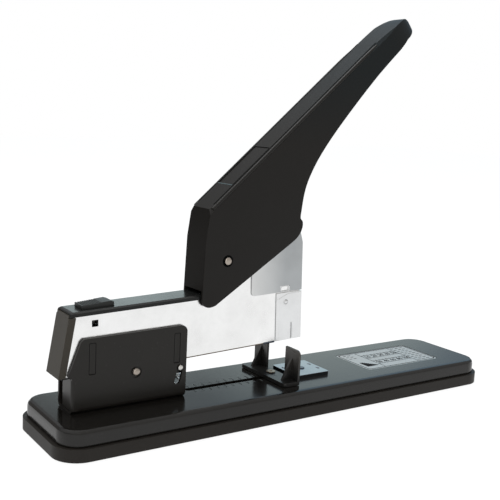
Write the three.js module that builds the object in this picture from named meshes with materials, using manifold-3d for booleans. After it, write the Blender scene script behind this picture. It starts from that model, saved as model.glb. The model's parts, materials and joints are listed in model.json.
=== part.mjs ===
// A heavy-duty stapler: a long flat base, a head that tips on a bracket, and a handle that drives the blade.
// Units are millimetres. +X points to the stapling end and +Z up.
// The origin is the middle of the underside, on the surface that the stapler stands on.
import * as THREE from 'three';
import { mergeVertices } from 'three/addons/utils/BufferGeometryUtils.js';
import Module from 'manifold-3d';

const wasm = await Module();
wasm.setup();

// Clearances and overruns
const seatGap = 0.3;
const slideGap = 0.35;
const cutOver = 1;

// Base tray and shell
const baseLength = 290;
const baseWidth = 65;
const trayCorner = 14;
const footProud = 0.4;
const trayTop = 6.9;
const trayFloor = 2.2;
const trayWall = 3;
const partingGap = 0.35;
const shellInset = 2.2;
const shellTop = 15.5;
const shellWall = 1.8;
const shellEdge = 3;
const footRadius = 7;
const footRecess = 1.2;
const footInsetX = 22;
const footInsetY = 17.5;
const bossRadius = 4;
const screwRadius = 1.5;
const screwHeadRadius = 3;
const screwHeadHeight = 1.4;
const screwLength = 9;
const screwInsetX = 46;
const screwInsetY = 11.5;

// Label, as shares of the deck in front of the anvil
const labelCentreShare = 0.5065;
const labelLengthShare = 0.5152;
const labelWidth = 32.4;
const labelCorner = 2;
const labelThick = 0.3;
const labelRecess = 0.45;

// Anvil, with its reach from the pivot
const anvilReach = 114;
const anvilSide = 24;
const anvilCorner = 1;
const anvilThick = 2;
const grooveOffset = 9.6;
const grooveWidth = 2.4;
const grooveLength = 4.6;
const grooveDepth = 0.7;
const grooveCentreY = 4.2;
const anvilRivetRadius = 2.2;
const anvilRivetHeadRadius = 3.6;
const anvilRivetHeadThick = 0.9;

// Depth guide and its slot; the slot ends behind the anvil, and the guide rests near that end
const slotRearReach = 34.5;
const slotAnvilGap = 4.5;
const slotWidth = 4;
const guideEndRoom = 1;
const guideLength = 10.8;
const guideHalfWidth = 21.6;
const guideThick = 2.1;
const guideCorner = 1.5;
const tabThick = 1.4;
const tabInnerY = 8.9;
const tabTop = 35.5;
const tabCorner = 3;
const gussetY = 15;
const gussetThick = 1.6;
const gussetDrop = 5;
const gussetFoot = 3;
const guideRivetInset = 4.5;
const guideRivetRadius = 2.7;
const guideRivetHead = 0.5;
const guideRivetBore = 1.1;
const guideStemRadius = 1.2;
const shoeLength = 12;
const shoeHalfWidth = 5;
const shoeThick = 1.2;

// Bracket, with reaches from the pivot
const pivotInset = 48.5;
const pivotZ = 33;
const sheet = 1.4;
const cheekOuterY = 9;
const bracketBend = 3;
const bracketRearReach = 34.5;
const bracketFrontReach = 29.5;
const shoulderReach = 36.5;
const shoulderZ = 35;
const bracketTop = 54.7;
const bracketRearTop = 53.2;
const bracketTopReach = 30.1;
const bracketCorner = 3.5;
const rearWallReach = 4.5;
const rearWallTop = 33.1;
const rearWallCorner = 2;
const bracketRivetReaches = [-27.5, 8.5];
const bracketRivetY = 3.2;
const bracketRivetRadius = 1.6;
const bracketRivetHead = 2.6;
const bracketRivetHeadThick = 1;
const pivotPinRadius = 1.9;
const pinHeadThick = 0.5;
const pinRing = 3.1;
const pinRingDepth = 0.5;
const washerRadius = 3.4;
const washerThick = 0.6;
const arcSlotWidth = 3.3;
const arcSlotEnd = -19;
const ribWidth = 3.4;
const ribDepth = 0.35;
const ribRearReach = 24;
const ribFrontReach = 23.6;
const ribLow = 34.8;
const ribHigh = 50.8;

// Head in its own axes: u runs forward from the pivot, w up from it, and the head rests tipped up
const restTilt = 2.4;
const headOuterY = 7.3;
const headSheet = 0.8;
const headBottom = 2.1;
const headRearLow = -39.2;
const headRearHigh = -32.6;
const headRearTop = 33.5;
const headFront = 104.8;
const webFront = 90;
const shoulderU = 43.8;
const shoulderW = 55;
const towerU = 48;
const towerTop = 61.2;
const lugHalf = 7;
const lugLow = -5.5;
const stopU = 25.6;
const stopW = -2.1;
const stopLugHalf = 4.6;
const stopLugLow = -5.6;
const studRadius = 1.35;
const windowU = -21.1;
const windowW = 28.2;
const windowSide = 3.4;

// Nose plate and hood plate
const wrapSheet = 0.6;
const wrapOuterY = 8.1;
const noseRear = 88.6;
const noseFront = 106.2;
const noseTop = 29.8;
const slitU = 99.2;
const slitWidth = 0.9;
const slitTop = 12;
const slitLow = 2.6;
const hoodRear = 71.5;
const hoodLow = 30.4;
const hoodTop = 71;
const hoodTopRear = 86;
const hoodTopFront = 102.5;
const hoodFrontTop = 58;
const hoodCorner = 2;
const hoodNotchRear = 91.2;
const hoodNotchFront = 97.6;
const hoodNotchHeight = 3.4;
const wrapRivetRadius = 1.1;
const noseRivetU = 95;
const noseRivetW = 24.4;
const hoodRivetU = 90;
const hoodRivetW = 57;

// Cover, end cap, latch button
const coverFront = 43;
const coverTop = 35.2;
const coverThick = 1.1;
const coverLow = 32.7;
const coverEdge = 0.8;
const coverCorner = 2.2;
const capThick = 1.8;
const capLow = 2.8;
const capWrap = 2;
const buttonRear = -26.7;
const buttonFront = -9.6;
const buttonHalfWidth = 4.8;
const buttonRearTop = 37.1;
const buttonPeakU = -11.4;
const buttonPeak = 37.9;
const buttonFrontTop = 37.3;
const buttonRibs = 8;
const buttonRibPitch = 1.2;
const buttonRibDepth = 0.3;
const buttonFlange = 0.7;
const buttonFlangeThick = 0.9;
const latchU = -18.4;
const latchBore = 2.3;
const latchBoreDepth = 4;
const latchSpringRadius = 1.6;
const latchSpringWire = 0.4;
const latchSpringCurls = 4;
const keeperRear = -32.2;
const keeperFront = -8;
const keeperLow = 30.4;
const keeperThick = 0.6;
const keeperHalfWidth = 4;

// Magazine
const railHalfWidth = 5.4;
const railSheet = 0.8;
const railTop = 24.6;
const railLow = 3.4;
const railRear = -27;
const railFront = 103.2;
const stapleHalfWidth = 6.3;
const stapleWire = 0.6;
const stapleLegLow = 8.6;
const stapleRear = 60;
const stapleFront = 103.8;
const pusherRear = 46;
const pusherFront = 59;
const pusherHalfWidth = 6.1;
const pusherLow = 12;
const pusherTop = 32.8;
const rodRadius = 1.2;
const rodW = 27.6;
const pusherSpringRadius = 1.95;
const pusherSpringWire = 0.45;
const pusherSpringCurls = 30;
const railRivetU = [-18, 70];
const railRivetRadius = 1.3;
const railRivetHead = 2.1;
const railRivetHeadThick = 0.5;

// Drive
const handlePinU = 54.4;
const handlePinW = 52.3;
const handlePinRadius = 2;
const bladeHalfWidth = 6.2;
const bladeThick = 0.8;
const bladeTip = 28;
const bladeTop = 66;
const ramRear = 90;
const ramLow = 54.5;
const ramTop = 70.2;
const ramHalfWidth = 5.9;
const leverRise = 17.5;
const leverThick = 5;
const leverHub = 6;
const leverTip = 2.6;
const leverTail = 74;
const leverTailRear = 12;
const leverTailDepth = 5;
const leverTailRoot = 26;
const ramSlotReach = 100.4;
const ramMouthLead = 0.6;
const ramMouthFlare = 3.6;
const leverEndRoom = 2.4;
const bladeRivetRadius = 1.4;
const bladeRivetW = 58;
const bladeRivetRear = 99;

// Handle, in lengths from the handle pin
const handleHalfWidth = 10;
const creaseHalfWidth = 8;
const bevelDrop = 2;
const handleWall = 1.4;
const handleRearTop = [-10.7, 28.4];
const handleRearMid = [-13.6, 12.3];
const handleRearLow = [-15.9, -18.5];
const lobeCorner = [-15.6, -26];
const lobeFront = [-7.6, -23.6];
const cheekFront = [42.4, 6.2];
const cheekCorner = [48.9, 9.8];
const neckLow = [50, 15.2];
const neckCorner = [50.3, 18.4];
const neckStep = [48.9, 18.9];
const neckMid = [48.6, 22.6];
const neckHigh = [53.1, 40.7];
const gripStart = [67.8, 62.7];
const gripMid = [99.6, 96.7];
const gripEnd = [127, 121.3];
const gripTip = [142.6, 129.9];
const gripTop = [128.7, 133.1];
const gripCrown = [123.2, 135.8];
const gripTopStart = [91.5, 110.4];
const rearWallLow = -15.1;
const tipTaper = 24;
const tipFullShare = 0.44;
const tipSolid = 14;
const panelStart = 28.4;
const panelEnd = 59;
const panelHalfWidth = 6.9;
const panelDepth = 0.25;
const returnSpringRadius = 4.2;
const returnSpringWire = 0.9;
const returnSpringCurls = 1.5;

// Lift spring
const liftSpringReach = 25.3;
const liftSpringRadius = 4.8;
const liftSpringWire = 1.1;
const liftSpringCurls = 6;

// Counts and angles
const roundSteps = 28;
const smallSteps = 18;
const cornerSteps = 8;
const curlSteps = 8;
const wireSides = 5;
const quarter = Math.PI / 2;
const radians = THREE.MathUtils.degToRad;

// Places along the base: the bracket keeps its distance from the rear end, and all else from the pivot
const pivotX = pivotInset - baseLength / 2;
const bracketRear = pivotX - bracketRearReach;
const bracketFront = pivotX + bracketFrontReach;
const shoulderX = pivotX - shoulderReach;
const bracketTopRear = pivotX - bracketTopReach;
const bracketRivets = bracketRivetReaches.map((reach) => pivotX + reach);
const ribRearX = pivotX - ribRearReach;
const ribFrontX = pivotX + ribFrontReach;
const liftSpringX = pivotX + liftSpringReach;
const anvilCentreX = pivotX + anvilReach;
const slotRear = pivotX + slotRearReach;
const slotFront = anvilCentreX - anvilSide / 2 - slotAnvilGap;
const guideFront = slotFront - guideEndRoom;
const guideRear = guideFront - guideLength;
const guideRivetX = guideFront - guideRivetInset;
const anvilFront = anvilCentreX + anvilSide / 2;
const deckLength = baseLength / 2 - anvilFront;
const labelCentreX = anvilFront + labelCentreShare * deckLength;
const labelLength = labelLengthShare * deckLength;

// Geometry to solid and back

const toSolid = (geometry) => {
  const g = geometry.index ? geometry.toNonIndexed() : geometry.clone();
  g.deleteAttribute('normal');
  g.deleteAttribute('uv');
  const merged = mergeVertices(g, 1e-4);
  return new wasm.Manifold(
    new wasm.Mesh({
      numProp: 3,
      vertProperties: new Float32Array(merged.attributes.position.array),
      triVerts: new Uint32Array(merged.index.array),
    }),
  );
};

const toGeometry = (solid) => {
  const mesh = solid.getMesh();
  const g = new THREE.BufferGeometry();
  g.setAttribute('position', new THREE.BufferAttribute(new Float32Array(mesh.vertProperties), 3));
  g.setIndex(new THREE.BufferAttribute(new Uint32Array(mesh.triVerts), 1));
  g.computeVertexNormals();
  return g;
};

const join = (first, ...rest) => rest.reduce((sum, s) => sum.add(s), first);
const cut = (first, ...rest) => rest.reduce((left, s) => left.subtract(s), first);

// Shapes

const block = (x0, x1, y0, y1, z0, z1) =>
  toSolid(
    new THREE.BoxGeometry(x1 - x0, y1 - y0, z1 - z0).translate((x0 + x1) / 2, (y0 + y1) / 2, (z0 + z1) / 2),
  );

// A round bar along Y, from y0 to y1.
const barY = (x, z, radius, y0, y1, steps = smallSteps) =>
  toSolid(new THREE.CylinderGeometry(radius, radius, y1 - y0, steps).translate(x, (y0 + y1) / 2, z));

// A round bar along Z, from z0 to z1.
const barZ = (x, y, radius, z0, z1, steps = smallSteps) =>
  toSolid(
    new THREE.CylinderGeometry(radius, radius, z1 - z0, steps)
      .rotateX(quarter)
      .translate(x, y, (z0 + z1) / 2),
  );

// A side outline in x and z, given depth along Y from y0 to y1.
const vectors = (points) => points.map((p) => new THREE.Vector2(...p));
const profile = (outline, y0, y1) => {
  const shape = Array.isArray(outline) ? new THREE.Shape(vectors(outline)) : outline;
  const g = new THREE.ExtrudeGeometry(shape, {
    depth: y1 - y0,
    bevelEnabled: false,
    curveSegments: cornerSteps,
  });
  return toSolid(g.rotateX(quarter).translate(0, y1, 0));
};

// A rectangle with round corners, seen from above.
const roundedRectangle = (length, width, corner) => {
  const a = length / 2;
  const b = width / 2;
  const s = new THREE.Shape();
  s.moveTo(-a + corner, -b);
  s.lineTo(a - corner, -b);
  s.absarc(a - corner, -b + corner, corner, -quarter, 0);
  s.lineTo(a, b - corner);
  s.absarc(a - corner, b - corner, corner, 0, quarter);
  s.lineTo(-a + corner, b);
  s.absarc(-a + corner, b - corner, corner, quarter, 2 * quarter);
  s.lineTo(-a, -b + corner);
  s.absarc(-a + corner, -b + corner, corner, 2 * quarter, 3 * quarter);
  return s;
};

const plate = (length, width, corner, z0, z1) =>
  toSolid(
    new THREE.ExtrudeGeometry(roundedRectangle(length, width, corner), {
      depth: z1 - z0,
      bevelEnabled: false,
      curveSegments: cornerSteps,
    }).translate(0, 0, z0),
  );

// A plate whose upper edge is rounded by the given radius.
const softPlate = (length, width, corner, z0, z1, edge) => {
  const inner = roundedRectangle(length - 2 * edge, width - 2 * edge, corner - edge);
  const g = new THREE.ExtrudeGeometry(inner, {
    depth: z1 - z0 - edge,
    bevelThickness: edge,
    bevelSize: edge,
    bevelSegments: 3,
    curveSegments: cornerSteps,
  }).translate(0, 0, z0);
  return toSolid(g).subtract(block(-length, length, -width, width, z0 - 2 * edge, z0));
};

// A coil spring that stands on z = 0: one tube swept along a helix.
class Helix extends THREE.Curve {
  constructor(radius, height, curls) {
    super();
    this.radius = radius;
    this.height = height;
    this.curls = curls;
  }
  getPoint(t, target = new THREE.Vector3()) {
    const angle = 2 * Math.PI * this.curls * t;
    return target.set(this.radius * Math.cos(angle), this.radius * Math.sin(angle), this.height * t);
  }
}

const coil = (radius, wire, height, curls) => {
  const steps = Math.ceil(curls * curlSteps);
  const path = new Helix(radius, height - wire, curls);
  const points = [];
  const triangles = [];
  for (let i = 0; i <= steps; i++) {
    const centre = path.getPoint(i / steps);
    const angle = (2 * Math.PI * curls * i) / steps;
    const out = new THREE.Vector3(Math.cos(angle), Math.sin(angle), 0);
    const up = new THREE.Vector3(0, 0, 1);
    for (let j = 0; j < wireSides; j++) {
      const turn = (2 * Math.PI * j) / wireSides;
      const p = centre
        .clone()
        .addScaledVector(out, (wire / 2) * Math.cos(turn))
        .addScaledVector(up, (wire / 2) * Math.sin(turn));
      points.push(p.x, p.y, p.z + wire / 2);
    }
  }
  for (let i = 0; i < steps; i++) {
    for (let j = 0; j < wireSides; j++) {
      const a = i * wireSides + j;
      const b = i * wireSides + ((j + 1) % wireSides);
      triangles.push(a, a + wireSides, b, b, a + wireSides, b + wireSides);
    }
  }
  const last = steps * wireSides;
  for (let j = 1; j < wireSides - 1; j++) {
    triangles.push(0, j, j + 1);
    triangles.push(last, last + j + 1, last + j);
  }
  const g = new THREE.BufferGeometry();
  g.setAttribute('position', new THREE.Float32BufferAttribute(points, 3));
  g.setIndex(triangles);
  const gap = (height - wire) / curls - wire;
  console.log(`coil of ${curls} curls: least gap to itself ${gap.toFixed(2)} mm`);
  return g;
};

// Materials

const paint = (colour, roughness, metalness) => ({ color: colour, roughness, metalness });
const blackPaint = paint(0x2b2a28, 0.35, 0.1);
const blackPlastic = paint(0x2e2c29, 0.45, 0);
const steel = paint(0xe4e6e6, 0.3, 0.9);
const greySteel = paint(0xbfc4c7, 0.35, 0.9);
const warmSteel = paint(0xc9bfae, 0.35, 0.9);
const rubber = paint(0x262524, 0.85, 0);
const labelFinish = paint(0xd3d7da, 0.4, 0.2);

const add = (group, name, solid, finish) => {
  const geometry = solid.isBufferGeometry ? solid : toGeometry(solid);
  const mesh = new THREE.Mesh(geometry, new THREE.MeshStandardMaterial(finish));
  mesh.name = name;
  group.add(mesh);
  return mesh;
};

const stapler = new THREE.Group();

// Base tray: a shallow dish with four feet let into its underside

const trayFloorTop = footProud + trayFloor;
const screwX = baseLength / 2 - screwInsetX;
const footX = baseLength / 2 - footInsetX;
const screwY = baseWidth / 2 - screwInsetY;
const footY = baseWidth / 2 - footInsetY;
const corners = [
  [-1, -1],
  [1, -1],
  [1, 1],
  [-1, 1],
];

let tray = plate(baseLength, baseWidth, trayCorner, footProud, trayTop).subtract(
  plate(
    baseLength - 2 * trayWall,
    baseWidth - 2 * trayWall,
    trayCorner - trayWall,
    trayFloorTop,
    trayTop + cutOver,
  ),
);
corners.forEach(([sx, sy]) => {
  const x = sx * screwX;
  const y = sy * screwY;
  tray = cut(
    tray,
    barZ(sx * footX, sy * footY, footRadius + seatGap, 0, footRecess + seatGap, roundSteps),
    barZ(x, y, screwRadius + seatGap, 0, trayFloorTop + cutOver),
    barZ(x, y, screwHeadRadius + seatGap, 0, footProud + screwHeadHeight),
  );
});
add(stapler, 'base_tray', tray, blackPlastic);

corners.forEach(([sx, sy], i) => {
  const foot = barZ(sx * footX, sy * footY, footRadius, 0, footRecess, roundSteps);
  add(stapler, `foot_${i + 1}`, foot, rubber);
});

// Base shell: pressed sheet with a rounded upper edge, closed from below by the tray

const shellLow = trayTop + partingGap;
const shellLength = baseLength - 2 * shellInset;
const shellWidth = baseWidth - 2 * shellInset;
const shellCorner = trayCorner - shellInset;
const shellUnder = shellTop - shellWall;
const slotMiddle = (slotRear + slotFront) / 2;

let shell = softPlate(shellLength, shellWidth, shellCorner, shellLow, shellTop, shellEdge).subtract(
  plate(
    shellLength - 2 * shellWall,
    shellWidth - 2 * shellWall,
    shellCorner - shellWall,
    shellLow - cutOver,
    shellUnder,
  ),
);
const bossLow = trayFloorTop + seatGap;
corners.forEach(([sx, sy]) => {
  const x = sx * screwX;
  const y = sy * screwY;
  shell = join(shell, barZ(x, y, bossRadius, bossLow, shellUnder + shellWall / 2));
  shell = cut(shell, barZ(x, y, screwRadius + seatGap, bossLow - cutOver, footProud + screwLength + seatGap));
});
const slot = toSolid(
  new THREE.ExtrudeGeometry(roundedRectangle(slotFront - slotRear, slotWidth, slotWidth / 2), {
    depth: shellWall + 2 * cutOver,
    bevelEnabled: false,
    curveSegments: cornerSteps,
  }).translate(slotMiddle, 0, shellUnder - cutOver),
);
shell = cut(
  shell,
  slot,
  plate(
    labelLength + 2 * seatGap,
    labelWidth + 2 * seatGap,
    labelCorner + seatGap,
    shellTop - labelRecess,
    shellTop + cutOver,
  ).translate([labelCentreX, 0, 0]),
  barZ(anvilCentreX, 0, anvilRivetRadius + seatGap, shellUnder - cutOver, shellTop + cutOver),
);
const rivetHoleRadius = bracketRivetRadius + seatGap;
bracketRivets.forEach((x) =>
  [-1, 1].forEach((sy) => {
    const y = sy * bracketRivetY;
    shell = shell.subtract(barZ(x, y, rivetHoleRadius, shellUnder - cutOver, shellTop + cutOver));
  }),
);
add(stapler, 'base_shell', shell, blackPaint);

corners.forEach(([sx, sy], i) => {
  const x = sx * screwX;
  const y = sy * screwY;
  const headTop = footProud + screwHeadHeight - seatGap;
  const screw = join(
    barZ(x, y, screwHeadRadius, headTop - screwHeadHeight + seatGap, headTop),
    barZ(x, y, screwRadius, headTop - screwHeadHeight + seatGap, footProud + screwLength),
  );
  add(stapler, `base_screw_${i + 1}`, screw, steel);
});

const label = plate(
  labelLength,
  labelWidth,
  labelCorner,
  shellTop - labelRecess,
  shellTop - labelRecess + labelThick,
).translate([labelCentreX, 0, 0]);
add(stapler, 'label_plate', label, labelFinish);

// Anvil: a loose square with a pair of clinch grooves near each edge, turned round to change the fold

const anvilTop = shellTop + anvilThick;
let anvil = plate(anvilSide, anvilSide, anvilCorner, shellTop, anvilTop).translate([anvilCentreX, 0, 0]);
anvil = anvil.subtract(
  barZ(anvilCentreX, 0, anvilRivetRadius + seatGap, shellTop - cutOver, anvilTop + cutOver),
);
[-1, 1].forEach((sx) =>
  [-1, 1].forEach((sy) => {
    const pocket = toSolid(
      new THREE.CylinderGeometry(
        grooveLength / 2,
        grooveLength / 4,
        2 * grooveDepth,
        roundSteps,
      ).rotateX(quarter),
    )
      .scale([grooveWidth / grooveLength, 1, 1])
      .translate([anvilCentreX + sx * grooveOffset, sy * grooveCentreY, anvilTop]);
    anvil = anvil.subtract(pocket);
  }),
);
add(stapler, 'anvil_plate', anvil, steel);

const anvilRivet = join(
  barZ(anvilCentreX, 0, anvilRivetRadius, shellUnder - anvilRivetHeadThick, anvilTop + pinHeadThick),
  barZ(
    anvilCentreX,
    0,
    anvilRivetHeadRadius,
    shellUnder - anvilRivetHeadThick - seatGap,
    shellUnder - seatGap,
  ),
);
add(stapler, 'anvil_rivet', anvilRivet, greySteel);

// Bracket: one bent sheet, a web on the base and a cheek on each side of the head

const cheekInnerY = cheekOuterY - sheet;
const webTop = shellTop + sheet;

const cheekOutline = new THREE.Shape();
cheekOutline.moveTo(bracketRear, shellTop);
cheekOutline.lineTo(bracketFront, shellTop);
cheekOutline.lineTo(bracketFront, bracketTop - bracketCorner);
cheekOutline.absarc(bracketFront - bracketCorner, bracketTop - bracketCorner, bracketCorner, 0, quarter);
cheekOutline.lineTo(bracketTopRear + sheet, bracketRearTop);
cheekOutline.lineTo(bracketTopRear, bracketRearTop - sheet);
cheekOutline.lineTo(shoulderX, shoulderZ);
cheekOutline.lineTo(bracketRear, shoulderZ - sheet);

// The U section of the bent sheet, in y and z, carried along X.
const bracketSection = (halfWidth, low, bend) => {
  const s = new THREE.Shape();
  s.moveTo(-halfWidth, bracketTop + cutOver);
  s.lineTo(-halfWidth, low + bend);
  s.absarc(-halfWidth + bend, low + bend, bend, 2 * quarter, 3 * quarter);
  s.lineTo(halfWidth - bend, low);
  s.absarc(halfWidth - bend, low + bend, bend, -quarter, 0);
  s.lineTo(halfWidth, bracketTop + cutOver);
  return s;
};

// An outline in y and z given length along X from x0 to x1.
const along = (shape, x0, x1) =>
  toSolid(
    new THREE.ExtrudeGeometry(shape, { depth: x1 - x0, bevelEnabled: false, curveSegments: cornerSteps })
      .rotateX(quarter)
      .rotateZ(quarter)
      .translate(x0, 0, 0),
  );

const outerSection = bracketSection(cheekOuterY, shellTop, bracketBend);
let bracket = profile(cheekOutline, -cheekOuterY, cheekOuterY)
  .intersect(along(outerSection, shoulderX - cutOver, bracketFront + cutOver))
  .subtract(
    along(
      bracketSection(cheekInnerY, webTop, bracketBend - sheet),
      shoulderX - 2 * cutOver,
      bracketFront + 2 * cutOver,
    ),
  );

// The slot that the stop stud runs in bends round the pivot.
const stopReach = Math.hypot(stopU, stopW);
const stopAngle = Math.atan2(stopW, stopU) + radians(restTilt);
const arcSlot = () => {
  const half = arcSlotWidth / 2;
  const high = stopAngle + (slideGap - seatGap) / stopReach;
  const low = radians(arcSlotEnd);
  const s = new THREE.Shape();
  s.absarc(pivotX, pivotZ, stopReach + half, low, high, false);
  s.absarc(pivotX, pivotZ, stopReach - half, high, low, true);
  const ends = [low, high].map((angle) =>
    barY(
      pivotX + stopReach * Math.cos(angle),
      pivotZ + stopReach * Math.sin(angle),
      half,
      -cheekOuterY - cutOver,
      cheekOuterY + cutOver,
    ),
  );
  return join(profile(s, -cheekOuterY - cutOver, cheekOuterY + cutOver), ...ends);
};
const ribs = [ribRearX, ribFrontX].flatMap((x) =>
  [-1, 1].map((sy) =>
    toSolid(
      new THREE.CylinderGeometry(ribWidth / 2, ribWidth / 2, ribHigh - ribLow, smallSteps)
        .rotateX(quarter)
        .scale(1, (2 * ribDepth) / ribWidth, 1)
        .translate(x, sy * cheekOuterY, (ribLow + ribHigh) / 2),
    ),
  ),
);
const ringAt = (x, z, faceY) =>
  [-1, 1].map((sy) => {
    const inner = sy * (faceY - pinRingDepth);
    const outer = sy * (faceY + cutOver);
    return barY(x, z, pinRing, Math.min(inner, outer), Math.max(inner, outer), roundSteps);
  });
// The near cheek is bent inwards at the rear and closes most of the U.
const rearWall = plate(
  2 * rearWallCorner + sheet,
  cheekOuterY + rearWallReach,
  rearWallCorner,
  webTop + seatGap,
  rearWallTop,
)
  .translate([bracketRear + rearWallCorner + sheet / 2, (rearWallReach - cheekOuterY) / 2, 0])
  .subtract(
    block(
      bracketRear + sheet,
      bracketFront,
      -cheekInnerY,
      rearWallReach + cutOver,
      shellTop,
      rearWallTop + cutOver,
    ),
  );
const rearEdge = block(
  shoulderX - cutOver,
  bracketRear + rearWallCorner,
  -cheekOuterY - cutOver,
  -cheekOuterY + rearWallCorner,
  webTop + seatGap,
  rearWallTop,
);
bracket = cut(
  join(bracket.subtract(rearEdge), rearWall),
  ...ribs,
  barY(pivotX, pivotZ, pivotPinRadius + seatGap, -cheekOuterY - cutOver, cheekOuterY + cutOver),
  ringAt(pivotX, pivotZ, cheekOuterY)[0],
  arcSlot(),
);
bracketRivets.forEach((x) =>
  [-1, 1].forEach((sy) => {
    const y = sy * bracketRivetY;
    bracket = bracket.subtract(barZ(x, y, rivetHoleRadius, shellTop - cutOver, webTop + cutOver));
  }),
);
add(stapler, 'bracket', bracket, blackPaint);

bracketRivets.forEach((x, i) =>
  [-1, 1].forEach((sy, j) => {
    const y = sy * bracketRivetY;
    const rivet = join(
      barZ(x, y, bracketRivetRadius, shellUnder - bracketRivetHeadThick, webTop + bracketRivetHeadThick),
      barZ(x, y, bracketRivetHead, webTop + seatGap, webTop + bracketRivetHeadThick),
      barZ(
        x,
        y,
        bracketRivetHead,
        shellUnder - bracketRivetHeadThick - seatGap,
        shellUnder - seatGap,
      ),
    );
    add(stapler, `bracket_rivet_${2 * i + j + 1}`, rivet, greySteel);
  }),
);

// The pin is peened over in a ring on the near cheek, and a pressed washer holds it behind the far one.
const peenLow = -cheekOuterY - seatGap;
const peenRadius = pivotPinRadius + seatGap / 2;
const pivotPin = join(
  barY(pivotX, pivotZ, pivotPinRadius, -cheekOuterY, cheekOuterY + washerThick + 2 * seatGap),
  barY(pivotX, pivotZ, peenRadius, peenLow, peenLow + pinHeadThick),
);
add(stapler, 'pivot_pin', pivotPin, warmSteel);
const washerAt = (x, z, y0, bore) =>
  cut(
    barY(x, z, washerRadius, y0, y0 + washerThick, roundSteps),
    barY(x, z, bore + seatGap, y0 - cutOver, y0 + washerThick + cutOver),
  );
add(stapler, 'pivot_washer', washerAt(pivotX, pivotZ, cheekOuterY + seatGap, pivotPinRadius), warmSteel);

// Lift spring: it stands on the bracket's web under the head

const headUnderAtSpring =
  pivotZ +
  headBottom / Math.cos(radians(restTilt)) +
  (liftSpringX - pivotX - liftSpringRadius) * Math.tan(radians(restTilt));
const liftSpringHeight = headUnderAtSpring - webTop - 2 * seatGap;
add(
  stapler,
  'lift_spring',
  coil(liftSpringRadius, liftSpringWire, liftSpringHeight, liftSpringCurls).translate(
    liftSpringX,
    0,
    webTop + seatGap,
  ),
  steel,
);

// Depth guide: a slider with a tab on each side of the nose

const guideLow = shellTop + seatGap;
const guideTop = guideLow + guideThick;
const guideStem = guideStemRadius + seatGap;
let guide = plate(guideLength, 2 * guideHalfWidth, guideCorner, guideLow, guideTop).translate([
  (guideRear + guideFront) / 2,
  0,
  0,
]);
[-1, 1].forEach((sy) => {
  const tab = new THREE.Shape();
  tab.moveTo(tabInnerY, guideLow);
  tab.lineTo(guideHalfWidth, guideLow);
  tab.lineTo(guideHalfWidth, tabTop - tabCorner);
  tab.absarc(guideHalfWidth - tabCorner, tabTop - tabCorner, tabCorner, 0, quarter);
  tab.lineTo(tabInnerY, tabTop);
  let side = along(tab, guideFront - tabThick, guideFront);
  if (sy < 0) side = side.mirror([0, 1, 0]);
  const gusset = profile(
    [
      [guideFront - tabThick / 2, guideTop - guideThick / 2],
      [guideFront - tabThick / 2, tabTop - gussetDrop],
      [guideFront - tabThick, tabTop - gussetDrop],
      [guideRear + gussetFoot, guideTop],
      [guideRear + gussetFoot, guideTop - guideThick / 2],
    ],
    sy * gussetY - gussetThick / 2,
    sy * gussetY + gussetThick / 2,
  );
  guide = join(guide, side, gusset);
});
guide = guide.subtract(barZ(guideRivetX, 0, guideStem, guideLow - cutOver, guideTop + cutOver));
add(stapler, 'guide_slider', guide, blackPlastic);

const shoeTop = shellUnder - seatGap;
const rivetBase = guideTop + seatGap;
const guideRivet = cut(
  join(
    barZ(guideRivetX, 0, guideStemRadius, shoeTop - shoeThick - guideRivetHead, rivetBase + guideRivetHead),
    barZ(guideRivetX, 0, guideRivetRadius, rivetBase, rivetBase + guideRivetHead, roundSteps),
    barZ(
      guideRivetX,
      0,
      guideRivetRadius,
      shoeTop - shoeThick - seatGap - guideRivetHead,
      shoeTop - shoeThick - seatGap,
      roundSteps,
    ),
  ),
  barZ(
    guideRivetX,
    0,
    guideRivetBore * Math.SQRT1_2,
    rivetBase,
    rivetBase + guideRivetHead + cutOver,
    smallSteps,
  ),
);
add(stapler, 'guide_rivet', guideRivet, warmSteel);
const shoe = cut(
  block(
    guideRivetX - shoeLength / 2,
    guideRivetX + shoeLength / 2,
    -shoeHalfWidth,
    shoeHalfWidth,
    shoeTop - shoeThick,
    shoeTop,
  ),
  barZ(guideRivetX, 0, guideStem, shoeTop - shoeThick - cutOver, shoeTop + cutOver),
);
add(stapler, 'guide_shoe', shoe, greySteel);

// Head: everything from here on is placed in the head's own axes

const head = new THREE.Group();
head.position.set(pivotX, 0, pivotZ);
head.rotation.y = -radians(restTilt);
stapler.add(head);

const headInnerY = headOuterY - headSheet;

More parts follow.
